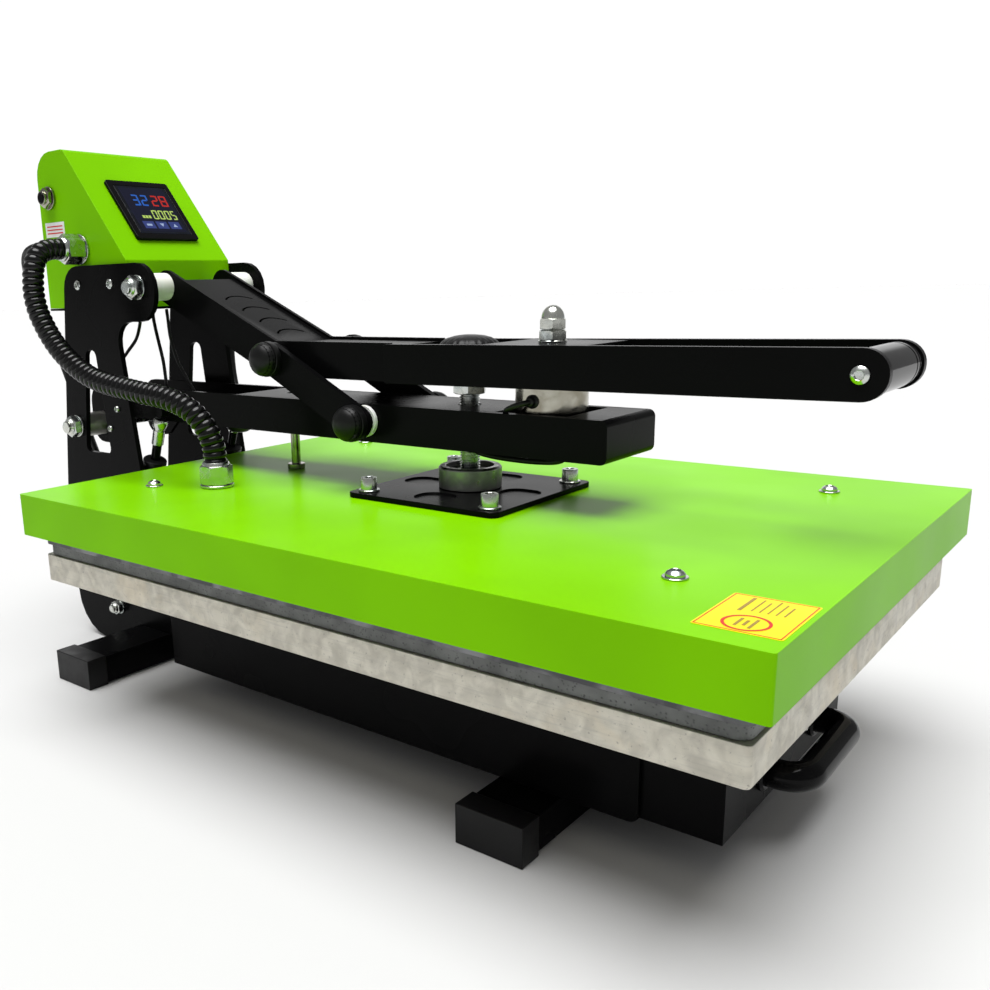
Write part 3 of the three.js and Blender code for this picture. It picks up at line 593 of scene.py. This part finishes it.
# The mains cord leaves the back of the box, turns down behind the side plates to the floor and runs
# to a coil lying behind the press. Millimetres from the spindle axis, as are all the routes here.
CORD_R = 4
CORD_EXIT_Y = 504.3
CORD_ROUTE = (
    (-50, CORD_EXIT_Y, 405), (-50, 509, 405), (-50, 517, 405), (-49.5, 528, 403), (-47, 541, 397),
    (-42, 551, 385), (-35, 556, 368), (-25, 557, 340), (-12, 556, 300), (2, 554, 250), (16, 552, 200),
    (30, 549, 150), (44, 543, 100), (57, 536.5, 60), (72, 529, 30), (90, 522.5, 11), (110, 519.6, 4.8),
    (128, 519.3, 4.2), (147, 519.3, 4.2), (166, 519.3, 4.2), (185, 519.3, 4.2),
)
CORD_TAIL = ((185, 617.6, 8.2), (175, 617.4, 8.9), (163, 617.1, 11.5), (152.3, 617, 12.4))
COIL = {"x": 185, "y": 565, "r": 41.7, "turns": 4.5}
CONDUIT_ROUTE = (
    (-80, 413, 398.5), (-88, 413, 398.5), (-98, 412.5, 398), (-109, 411, 394), (-116, 409.5, 385.5),
    (-119.5, 408.5, 374), (-121.5, 407, 356), (-121.5, 401, 338), (-120, 384, 314), (-119, 362, 297),
    (-117.5, 332, 283), (-116, 302, 277), (-113, 264, 272), (-110, 234, 268), (-106, 210, 259),
    (-102, 197, 245), (-99, 192.5, 230), (-98, 192, 219), (-98, 192, 205),
)
MAGNET_CABLE_ROUTE = (
    (79, 414, 398), (86, 414, 398), (94, 409, 396), (99, 398, 389), (100, 389, 374), (99, 385, 350),
    (96, 384, 320), (91, 381, 288), (84, 370, 259), (76, 352, 240), (69, 335, 229), (60, 321, 223),
    (48, 313, 219.5), (35, 310, 219.5), (25, 310, 222), (20, 310, 228), (19, 310, 234.5),
)
THIN_WIRES = {
    "sensor_lead": (1.7, (
        (-20, 365, 340), (-20, 365, 333), (-20, 363, 322), (-21, 358, 308), (-22, 352, 290),
        (-22, 350, 270), (-21, 350, 252), (-21, 350, 239))),
    "heater_lead": (1.6, (
        (-14, 351, 340), (-14, 350, 330), (-14, 348, 312), (-13, 341, 290), (-11, 330, 272),
        (-10, 321, 258), (-10, 318, 240))),
    "earth_lead": (1.7, (
        (-20, 385, 340), (-20, 386, 330), (-20, 395, 312), (-20, 412, 298), (-20, 427, 285),
        (-20, 433, 268), (-20, 424, 252), (-20, 402, 243), (-20, 380, 240))),
}


def ease(value, start, end):
    """0 before the start, 1 after the end and a smooth rise between them."""
    share = min(1.0, max(0.0, (value - start) / (end - start)))
    return (1 - math.cos(math.pi * share)) / 2


def coil_points():
    """Turn by turn: outer, inner, inner on top, outer on top, then down into the outside groove."""
    points = []
    thick = 2 * CORD_R
    steps = 36
    for i in range(int(COIL["turns"] * steps) + 1):
        turns = i / steps
        reach = COIL["r"] + thick * (0.5 - ease(turns, 0.7, 1) + ease(turns, 2.5, 2.8))
        z = CORD_R + 0.2 + thick * ease(turns, 1.6, 1.9)
        roll = ease(turns, 3.5, 3.7)
        if roll:
            tilt = math.radians(90 - 60 * roll)
            reach = COIL["r"] + CORD_R + thick * math.cos(tilt)
            z = CORD_R + 0.2 + thick * math.sin(tilt)
        a = 2 * math.pi * turns - math.pi / 2
        points.append(at(COIL["x"] + reach * math.cos(a), COIL["y"] + reach * math.sin(a), z))
    return points


def make_mains_cord():
    """The 1.83 m lead with its ribbed strain relief and coil tie."""
    relief_profile = [(10, 0), (10, 3), (8, 4.5)]
    for rib in range(7):
        start, crest = 6 + 2.8 * rib, 7.6 - 0.36 * rib
        groove = crest - 1
        relief_profile += [(groove, start), (crest, start + 0.4), (crest, start + 1.7), (groove, start + 2.1)]
    relief_profile += [(5, 26)]
    relief = place(lathe(relief_profile, at(-50, 478.3, 405), Y_AXIS), "mains_strain_relief",
                   "black_plastic", "frame")
    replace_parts(relief, "mains_gland")
    tie_at = at(COIL["x"] + COIL["r"] + 1.5, COIL["y"], 10.6)
    band = [tie_at + Vector((11.5 * math.cos(a), 0, 9.6 * math.sin(a))) * MM
            for a in (2 * math.pi * i / 40 for i in range(41))]
    tie = place(tube(band, lambda travelled: 0.9 * MM, 8), "coil_tie", "black_plastic", "frame")

    dense = spline([at(*p) for p in CORD_ROUTE], 4 * MM) + coil_points()[1:]
    dense += spline([at(*p) for p in CORD_TAIL], 4 * MM)[1:]
    cord = place(tube(resample(dense, 6 * MM), lambda travelled: CORD_R * MM, 12), "mains_lead",
                 "cord_rubber", "frame")
    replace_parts(cord, "mains_cord", "mains_coil")
    resample(dense, 13 * MM)


def corrugated(travelled):
    """Radius of the conduit: a round rib every few millimetres with a narrow groove between."""
    pitch, crest, groove = 6.2, 9.9, 1.9
    phase = (travelled / MM / pitch) % 1
    return (crest - groove * (1 - math.sin(math.pi * phase) ** 0.55)) * MM


def make_cables():
    """The conduit and leads run from the box to what the arm carries."""
    hose = tube(spline([at(*p) for p in CONDUIT_ROUTE], 0.62 * MM), corrugated, 20)
    conduit = place(hose, "corrugated_conduit", "conduit_plastic", None, sharp=75)
    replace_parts(conduit, "conduit")
    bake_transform(conduit)

    cable = place(tube(spline([at(*p) for p in MAGNET_CABLE_ROUTE], 4 * MM), lambda travelled: 4.4 * MM, 14),
                  "magnet_lead", "cord_rubber", None)
    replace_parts(cable, "magnet_cable")
    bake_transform(cable)

    for name, (radius, route) in THIN_WIRES.items():
        wire = place(tube(spline([at(*p) for p in route], 3 * MM), lambda travelled, r=radius: r * MM, 10),
                     name, "cord_rubber", None)
        if name == "sensor_lead":
            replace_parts(wire, "sensor_wire")
        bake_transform(wire)


# ------------------------------------------------------------------ fasteners and pivots

def middle(node):
    """The centre of a CAD node's box."""
    low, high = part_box(node)
    return (low + high) / 2


def make_through_bolts():
    """Bolts through both side plates, each with a washer, a lock nut and a thread end on either side."""
    bolts = (("pivot_bolt_top", 6, 19), ("pivot_bolt_rear", 6, 19), ("spring_bolt", 4, 13))
    for node, radius, across in bolts:
        low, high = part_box(node)
        centre = middle(node)
        half = (high.x - low.x) / 2 / MM
        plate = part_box("side_plate_r")[1].x / MM
        bm = lathe([(radius, -half + 4), (radius, half - 4)], centre, X_AXIS, 32)
        for _, side in LEFT_RIGHT:
            out = X_AXIS * side
            face = centre + out * (plate + 0.3) * MM
            washer(across * 0.58, 1.8, face, out, bm)
            hex_nut(across, 1.25 * radius, face + out * 1.8 * MM, out, bm)
            collar = 1.8 + 1.25 * radius
            lathe([(across * 0.44, 0), (across * 0.44, 1), (across * 0.38, 2.6), (radius + 0.4, 2.8)],
                  face + out * (collar - 0.3) * MM, out, 40, bm)
            past = half - plate - collar - 0.3
            lathe([(radius, 0), (radius, past - 0.7), (radius - 0.8, past)],
                  face + out * collar * MM, out, 32, bm)
        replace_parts(place(bm, node + "_set", "zinc", "frame"), node)


def make_plate_screws():
    """Small screws that hold the box's tabs and the arm's stops to the side plates."""
    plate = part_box("side_plate_r")[1].x / MM
    bm = bmesh.new()
    for _, side in LEFT_RIGHT:
        for y, z, radius in ((416, 365, 4.6), (363, 365, 4.6), (369, 247, 3.2), (383, 227, 3.2)):
            socket_screw(radius, 2.6, at(side * plate, y, z), X_AXIS * side, bm, domed=True)
    place(bm, "side_plate_screws", "zinc", "frame")


def make_link_caps():
    """A matt black cap over each link pivot, and the white washer that keeps each link off its arm."""
    dome = [(14.4, 51.2), (14.7, 52), (14.7, 56.6), (13.6, 57.2), (13.6, 57.8), (14.2, 58.4), (13.7, 61),
            (12.2, 63.8), (9.2, 66.2), (5, 67.6), (0, 68.1)]
    for name, side in LEFT_RIGHT:
        body = "link_left" if side < 0 else "link_right"
        out = X_AXIS * side
        caps, rings = bmesh.new(), bmesh.new()
        for y, z in ((169, 299), (76, 251)):
            lathe(dome, at(0, y, z), out, 56, caps)
        lathe([(12.4, 36.9), (12.8, 37.3), (12.8, 39.9), (12.4, 40.3)], at(0, 76, 251), out, 48, rings)
        place(caps, f"link_caps_{name}", "black_plastic", body)
        place(rings, f"link_washer_{name}", "nylon", body)


def make_gas_spring_rods():
    """A black piston rod in each gas spring, ending in a plated fitting on the arm's ball stud."""
    foot, head = Vector((0, 395, 41)), Vector((0, 325, 245))
    along = (head - foot).normalized()
    for name, side in LEFT_RIGHT:
        body = "spring_rod_left" if side < 0 else "spring_rod_right"
        origin = at(side * 49, foot.y, foot.z)
        rod = lathe([(4.5, 92), (4.5, 187)], origin, along, 28)
        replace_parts(place(rod, f"piston_rod_{name}", "gloss_black", body), f"gas_spring_rod_{name}")
        fitting = lathe([(5.2, 181.5), (5.8, 182.2), (5.8, 196.5), (5.2, 197.2), (5.2, 198.2), (6.4, 199),
                         (7.2, 201.5), (7.2, 206), (6, 208.2)], origin, along, 32)
        place(fitting, f"piston_fitting_{name}", "zinc", body)
        spring = "spring_left" if side < 0 else "spring_right"
        seal = [(11.2, 161), (11.5, 161.6), (11.5, 164.6), (10.6, 165.6), (5.2, 165.8)]
        place(lathe(seal, origin, along, 40), f"spring_seal_{name}", "black_plastic", spring)


# ------------------------------------------------------------------ platen, spindle and magnet

def make_cover_trim():
    """Screws on the cover and on the hub plate."""
    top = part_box("platen_cover")[1].z / MM
    bm = bmesh.new()
    for x, y in ((-127, 240), (151, 242), (-130, -229), (145, -229)):
        washer(7.4, 1.2, at(x, y, top), Z_AXIS, bm)
        socket_screw(5.6, 3.8, at(x, y, top + 1), Z_AXIS, bm, domed=True)
    place(bm, "cover_screws", "zinc", "platen")

    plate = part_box("hub_plate")[1].z / MM
    bm = bmesh.new()
    for x in (-57, 57):
        for y in (-57, 57):
            washer(8.4, 1.4, at(x, y, plate), Z_AXIS, bm)
            socket_screw(6.5, 9.5, at(x, y, plate + 1.3), Z_AXIS, bm)
    place(bm, "hub_screws", "zinc", "platen")


def brown_bar(low_u, high_u, v, tall, origin, bm):
    """A printed bar standing in for a line of words, in millimetres along X and Y."""
    prism(((low_u, v), (high_u, v), (high_u, v + tall), (low_u, v + tall)), origin, X_AXIS, Y_AXIS, 0.2, bm)


def make_cover_label():
    """A yellow label with a thin red border, a plain red ring and rows of brown lines instead of words."""
    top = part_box("platen_cover")[1].z / MM
    half_x, half_y = 29, 22
    centre = at(-166, -287, top)
    film = prism(rounded(half_x, half_y, 1.5), centre, X_AXIS, Y_AXIS, 0.2)
    place(film, "label_film", LABEL_YELLOW, "platen")
    printed = centre + Z_AXIS * 0.15 * MM
    red, brown = bmesh.new(), bmesh.new()
    edge_x, edge_y, thin = half_x - 1, half_y - 1, 0.6
    for low_u, high_u, low_v, high_v in (
        (-edge_x, edge_x, edge_y - thin, edge_y), (-edge_x, edge_x, -edge_y, thin - edge_y),
        (-edge_x, thin - edge_x, -edge_y, edge_y), (edge_x - thin, edge_x, -edge_y, edge_y),
    ):
        prism(((low_u, low_v), (high_u, low_v), (high_u, high_v), (low_u, high_v)), printed, X_AXIS, Y_AXIS,
              0.15, red)
    ring = printed - X_AXIS * half_x / 2 * MM
    hoop = [ring + Vector((11 * math.cos(a), 11 * math.sin(a), 0.2)) * MM
            for a in (2 * math.pi * i / 48 for i in range(49))]
    for inner, outer in zip(hoop, hoop[1:]):
        across = (outer - inner).cross(Z_AXIS).normalized() * 0.8 * MM
        corners = [red.verts.new(p) for p in (inner - across, outer - across, outer + across, inner + across)]
        red.faces.new(corners)
    for row, reach in enumerate((6, 4, 7)):
        brown_bar(-reach, reach, 3 - 3.6 * row, 1.5, ring, brown)
    brown_bar(2, 25, 9, 1.8, printed, brown)
    for row, high_u in enumerate((24, 21, 25, 22, 19)):
        brown_bar(4, high_u, 4 - 4 * row, 0.8, printed, brown)
    place(red, "label_red_print", LABEL_RED, "platen")
    place(brown, "label_brown_print", LABEL_BROWN, "platen")


def make_spindle():
    """The pressure screw with its lock nut, and the fluted knob that turns it."""
    low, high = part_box("pressure_spindle")
    length = (high.z - low.z) / MM
    bm = threaded_rod(8, 2, length - 0.5, at(0, 0, low.z / MM), Z_AXIS)
    hex_nut(24, 12, at(0, 0, high.z / MM - 28), Z_AXIS, bm)
    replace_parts(place(bm, "pressure_screw", "zinc", "spindle"), "pressure_spindle")
    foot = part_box("pressure_knob")[0].z / MM
    knob = lathe([(22, 0), (24, 0.8), (24, 8), (23.3, 9.8), (21, 12.2), (17, 14.4), (11, 16), (5, 16.7),
                  (0, 16.8)], at(0, 0, foot), Z_AXIS, 96, flutes=(24, 0.02))
    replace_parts(place(knob, "fluted_knob", "black_plastic", "spindle"), "pressure_knob")


def make_magnet_trim():
    """The magnet's grommet and lead, and the lead's loop under the arm."""
    bm = lathe([(5, 0), (5, 1.4), (3.6, 2), (3.2, 4.6), (2.4, 5)], at(-26.1, -73, 273), -X_AXIS, 28)
    tube(spline([at(*p) for p in ((-28, -73, 273), (-33, -71, 272.5), (-35, -63, 270), (-31.5, -54, 265.8),
                                  (-24, -50, 260), (-19, -50, 250), (-18, -50, 242))], 2 * MM),
         lambda travelled: 2.1 * MM, 12, bm)
    tube(spline([at(*p) for p in ((-20, -14, 237), (-20, -19, 232.5), (-20, -32, 229.8), (-20, -55, 228.6),
                                  (-20, -78, 229), (-20, -92, 231), (-20, -99, 236))], 2.5 * MM),
         lambda travelled: 2.1 * MM, 12, bm)
    place(bm, "magnet_wiring", "cord_rubber", "lower_arm")


def make_armature():
    """The steel disc that the magnet holds, its stud, two nuts and the domed cap nut above the bridge."""
    low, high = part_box("armature_bolt")
    origin = Vector((0, middle("armature_bolt").y, 0))
    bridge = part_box("armature_bridge")[1].z / MM
    disc = low.z / MM
    bm = lathe([(26, disc), (26.5, disc + 0.5), (26.5, disc + 6.5), (26, disc + 7)], origin, Z_AXIS, 64)
    lathe([(6, disc + 6.8), (6, bridge + 16)], origin, Z_AXIS, 32, bm)
    washer(10.4, 1.2, origin + Z_AXIS * (bridge + 0.3) * MM, Z_AXIS, bm)
    hex_nut(19, 7.4, origin + Z_AXIS * (bridge + 1.4) * MM, Z_AXIS, bm)
    hex_nut(18, 8, origin + Z_AXIS * (bridge + 9.2) * MM, Z_AXIS, bm)
    dome = bridge + 17
    tall = high.z / MM - dome
    profile = [(8.4, dome - 0.4)] + [
        (8.4 * math.cos(a), dome + tall * math.sin(a)) for a in (math.pi / 2 * i / 10 for i in range(10))]
    lathe(profile + [(0, dome + tall)], origin, Z_AXIS, 40, bm)
    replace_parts(place(bm, "armature_set", "zinc", "handle_arm"), "armature_bolt")


# ------------------------------------------------------------------ handles

def make_grip():
    """The turning grip with its grooves near one end, and the key screws that hold it."""
    centre = middle("roller_grip")
    half = (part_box("roller_grip")[1].x - centre.x) / MM
    profile = [(12.6, -half), (14, -half + 1.2)]
    for groove in (half - 12, half - 6):
        profile += [(14, groove - 1.1), (12.9, groove - 0.5), (12.9, groove + 0.5), (14, groove + 1.1)]
    profile += [(14, half - 1.2), (12.6, half)]
    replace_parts(place(lathe(profile, centre, X_AXIS, 56), "turning_grip", "gloss_black", "grip"),
                "roller_grip")
    bar_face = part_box("handle_bar_r")[1].x / MM
    bm = lathe([(5, -bar_face), (5, bar_face)], centre, X_AXIS, 32)
    for _, side in LEFT_RIGHT:
        socket_screw(5.2, 2.6, centre + X_AXIS * side * (bar_face + 0.2) * MM, X_AXIS * side, bm, domed=True)
    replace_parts(place(bm, "grip_screw", "zinc", "handle_arm"), "grip_bolt")


def make_drawer_pull():
    """The drawer's round black pull, with a flange and a screw at each foot."""
    low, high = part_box("drawer_handle")
    centre = middle("drawer_handle")
    radius = (high.z - low.z) / 2
    half = (high.x - low.x) / 2 - radius
    front = low.y + radius
    bend = 15 * MM
    path = []
    quarter = [math.pi / 2 * i / 12 for i in range(13)]
    for side in (-1, 1):
        arc = [Vector((centre.x + side * (half - bend * (1 - math.cos(a))), front + bend * (1 - math.sin(a)),
                       centre.z)) for a in quarter]
        leg = [Vector((centre.x + side * half, high.y + (front + bend - high.y) * i / 6, centre.z))
               for i in range(6)]
        stretch = leg + arc
        path += stretch if side < 0 else list(reversed(stretch))
    bm = tube(path, lambda travelled: radius, 32)
    for side in (-1, 1):
        foot = Vector((centre.x + side * half, high.y, centre.z))
        lathe([(13, 0), (13, 2.2), (11.2, 3.6)], foot, -Y_AXIS, 40, bm)
    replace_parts(place(bm, "drawer_pull", "gloss_black", "drawer"), "drawer_handle")
    screws = bmesh.new()
    for side in (-1, 1):
        head = Vector((centre.x + side * (half - 17 * MM), high.y, centre.z))
        socket_screw(3.4, 2.4, head, -Y_AXIS, screws, domed=True)
    place(screws, "drawer_pull_screws", "zinc", "drawer")


# ------------------------------------------------------------------ control box

SEGMENTS = {
    "0": "abcdef", "2": "abged", "3": "abgcd", "5": "afgcd", "8": "abcdefg",
}


def digit(glyph, left, foot, wide, tall, origin, axis_u, axis_v, bm):
    """One seven-segment digit from bars with gaps between them."""
    bar, slant = 0.15 * wide + 0.5, 0.08
    half = tall / 2
    bars = {
        "a": (bar, tall - bar, wide - bar, tall), "g": (bar, half - bar / 2, wide - bar, half + bar / 2),
        "d": (bar, 0, wide - bar, bar), "f": (0, half + 0.3, bar, tall - 0.3),
        "b": (wide - bar, half + 0.3, wide, tall - 0.3), "e": (0, 0.3, bar, half - 0.3),
        "c": (wide - bar, 0.3, wide, half - 0.3),
    }
    for key in SEGMENTS[glyph]:
        u0, v0, u1, v1 = bars[key]
        corners = [(left + u + slant * v, foot + v) for u, v in ((u0, v0), (u1, v0), (u1, v1), (u0, v1))]
        prism(corners, origin, axis_u, axis_v, 0.12, bm)


def make_display():
    """The lit controller window: set and actual values, a time and a row of touch keys."""
    low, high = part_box("display_screen")
    bend, edge = Vector((0, 343, 386)), Vector((0, 430, 491))
    axis_v = (edge - bend).normalized()
    out = X_AXIS.cross(axis_v)
    origin = (low + high) / 2
    surface = max((corner.co - origin).dot(out) for corner in NODES["display_screen"].data.vertices)
    origin = origin + out * (surface + 0.02 * MM)
    field = prism(rounded(26.5, 27.5, 1), origin, X_AXIS, axis_v, 0.06)
    place(field, "display_field", SCREEN_FIELD, "frame")
    raised = origin + out * 0.06 * MM
    rows = (
        ("display_set_value", SCREEN_BLUE, "32", -19, 5, 8.6, 14, 10.6),
        ("display_actual_value", SCREEN_RED, "28", 4, 5, 8.6, 14, 10.6),
        ("display_time", SCREEN_LIME, "0005", -4, -12, 6, 11.5, 7.5),
    )
    for name, look, glyphs, left, foot, wide, tall, step in rows:
        bm = bmesh.new()
        for place_of, glyph in enumerate(glyphs):
            digit(glyph, left + step * place_of, foot, wide, tall, raised, X_AXIS, axis_v, bm)
        if name == "display_time":
            for tick in range(3):
                u = -17 + 3.6 * tick
                prism(((u, -11), (u + 2.8, -11), (u + 2.8, -7.6), (u, -7.6)), raised, X_AXIS, axis_v,
                      0.12, bm)
        place(bm, name, look, "frame")
    keys, glyphs = bmesh.new(), bmesh.new()
    bar_mark = ((3.5, 3.2), (9.5, 3.2), (9.5, 5.6), (3.5, 5.6))
    down_mark = ((6.5, 2.5), (9, 6.5), (4, 6.5))
    up_mark = ((4, 2.5), (9, 2.5), (6.5, 6.5))
    for key, mark in enumerate((bar_mark, down_mark, up_mark)):
        left, foot = -21 + 15.4 * key, -24
        prism([(left + u, foot + v) for u, v in ((0, 0), (13, 0), (13, 9), (0, 9))], raised, X_AXIS, axis_v,
              0.1, keys)
        prism([(left + u, foot + v) for u, v in mark], raised + out * 0.1 * MM, X_AXIS, axis_v, 0.1, glyphs)
    place(keys, "display_keys", SCREEN_KEYS, "frame")
    place(glyphs, "display_key_marks", SCREEN_GLYPH, "frame")


def make_box_trim():
    """The breaker's collar, the glands, the left wall's label, and the back panel's screws and vent slots,
    the slots drawn as thin black strips of painted shade.
    """
    centre = middle("breaker_body")
    wall = Vector((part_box("breaker_body")[1].x, centre.y, centre.z))
    bore = 5.2
    bm = lathe([(10.7, 0), (11, 0.3), (11, 2.1), (10.7, 2.4), (bore, 2.4), (bore, 0)], wall, -X_AXIS, 40,
               bored=True)
    hex_nut(17, 4.4, wall - X_AXIS * 2.3 * MM, -X_AXIS, bm, bore=bore)
    lathe([(6.6, 6.4), (6.6, 8.8), (6.2, 9.2), (bore, 9.2), (bore, 6.4)], wall, -X_AXIS, 40, bm, bored=True)
    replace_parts(place(bm, "breaker_collar", "chrome", "frame"), "breaker_body")

    make_gland("conduit_gland_box", -X_AXIS, "frame", 24)
    make_gland("conduit_gland_cover", Z_AXIS, "platen", 22)

    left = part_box("control_box")[0].x / MM
    film = prism(((-471, 412), (-438, 412), (-438, 426), (-471, 426)), at(left, 0, 0), -Y_AXIS, Z_AXIS, 0.25)
    place(film, "box_label", LABEL_WHITE, "frame")
    bars = bmesh.new()
    for v in (415.2, 418.4, 421.6):
        prism(((-468, v), (-441, v), (-441, v + 1.1), (-468, v + 1.1)), at(left - 0.2, 0, 0), -Y_AXIS, Z_AXIS,
              0.2, bars)
    place(bars, "box_label_lines", LABEL_RED, "frame")

    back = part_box("control_box")[1].y
    screws, vent_shadow_strips = bmesh.new(), bmesh.new()
    for x in (-54, 54):
        for z in (353, 455):
            socket_screw(3.6, 2.2, Vector((x * MM, back, z * MM)), Y_AXIS, screws, domed=True)
    # Each vent slot is a thin black strip laid on the panel: painted shade standing for the dark opening.
    for row in range(6):
        z = 380 + 8 * row
        prism(rounded(15, 1.6, 1.55), Vector((28 * MM, back, z * MM)), -X_AXIS, Z_AXIS, 0.3, vent_shadow_strips)
    place(screws, "back_panel_screws", "zinc", "frame")
    place(vent_shadow_strips, "back_panel_vents", "black_plastic", "frame")


def make_gland(node, out, body, length):
    """A plated cable gland: a flange, a tall hexagon and a rounded nose open for the cable."""
    low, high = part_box(node)
    foot = middle(node)
    for i in range(3):
        if out[i]:
            foot[i] = low[i] if out[i] > 0 else high[i]
    bm = washer(14.2, 2.2, foot, out)
    hex_nut(24.6, length - 5.5, foot + out * 2 * MM, out, bm)
    nose = ((11.6, 4), (11.4, 2), (10.6, 0.8), (9.6, 0.6), (9.6, 5))
    lathe([(radius, length - down) for radius, down in nose], foot, out, 48, bm)
    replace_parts(place(bm, node + "_set", "zinc", body), node)


# ------------------------------------------------------------------ stage

# The surround is white this way, which is behind the press for the main camera, and grey elsewhere.
PALE_SIDE = (0.816, 0.578, 0.0)


def make_stage():
    """A plain pale floor under soft light: a wide lamp high above, and a surround that is paler behind."""
    floor_mesh = bpy.data.meshes.new("floor")
    bm = bmesh.new()
    bmesh.ops.create_circle(bm, cap_ends=True, radius=30, segments=64)
    bm.to_mesh(floor_mesh)
    bm.free()
    look = Look("floor", (0.58, 0.58, 0.578), 0.8, Specular_IOR_Level=0.05)
    look.bump((look.noise(40, 3), 0.05))
    floor_mesh.materials.append(look.material)
    floor = bpy.data.objects.new("floor", floor_mesh)
    floor.location.z = -0.2 * MM
    bpy.context.scene.collection.objects.link(floor)

    world = bpy.data.worlds.new("surround")
    world.use_nodes = True
    nodes, links = world.node_tree.nodes, world.node_tree.links
    background = nodes["Background"]
    place_of = nodes.new("ShaderNodeTexCoord").outputs["Generated"]
    towards = nodes.new("ShaderNodeVectorMath")
    towards.operation = "DOT_PRODUCT"
    towards.inputs[1].default_value = PALE_SIDE
    links.new(place_of, towards.inputs[0])
    ramp = nodes.new("ShaderNodeMapRange")
    links.new(towards.outputs["Value"], ramp.inputs["Value"])
    links.new(set_range(ramp, 0.78, 0.865, 0.3, 1.03), background.inputs["Strength"])
    background.inputs["Color"].default_value = (1, 1, 1, 1)
    bpy.context.scene.world = world

    sun = bpy.data.lights.new("overhead", "SUN")
    sun.energy = 4.5
    sun.angle = math.radians(50)
    lamp_object = bpy.data.objects.new("overhead", sun)
    bpy.context.scene.collection.objects.link(lamp_object)
    lamp_object.location = (0, 0, 3)
    lamp_object.rotation_mode = "QUATERNION"
    lamp_object.rotation_quaternion = Vector((0.14, 0.02, -1)).to_track_quat("-Z", "Y")
    bpy.context.scene.view_settings.view_transform = "Standard"


# ------------------------------------------------------------------ build

make_camera()
make_mains_cord()
make_cables()
make_through_bolts()
make_plate_screws()
make_link_caps()
make_gas_spring_rods()
make_cover_trim()
make_cover_label()
make_spindle()
make_magnet_trim()
make_armature()
make_grip()
make_drawer_pull()
make_display()
make_box_trim()
for name in NODES:
    if not NODES[name].hide_render:
        keep(name, 2 if name == "platen_cover" else 0.6, DARK_STEEL if name == "hub" else None)
make_stage()
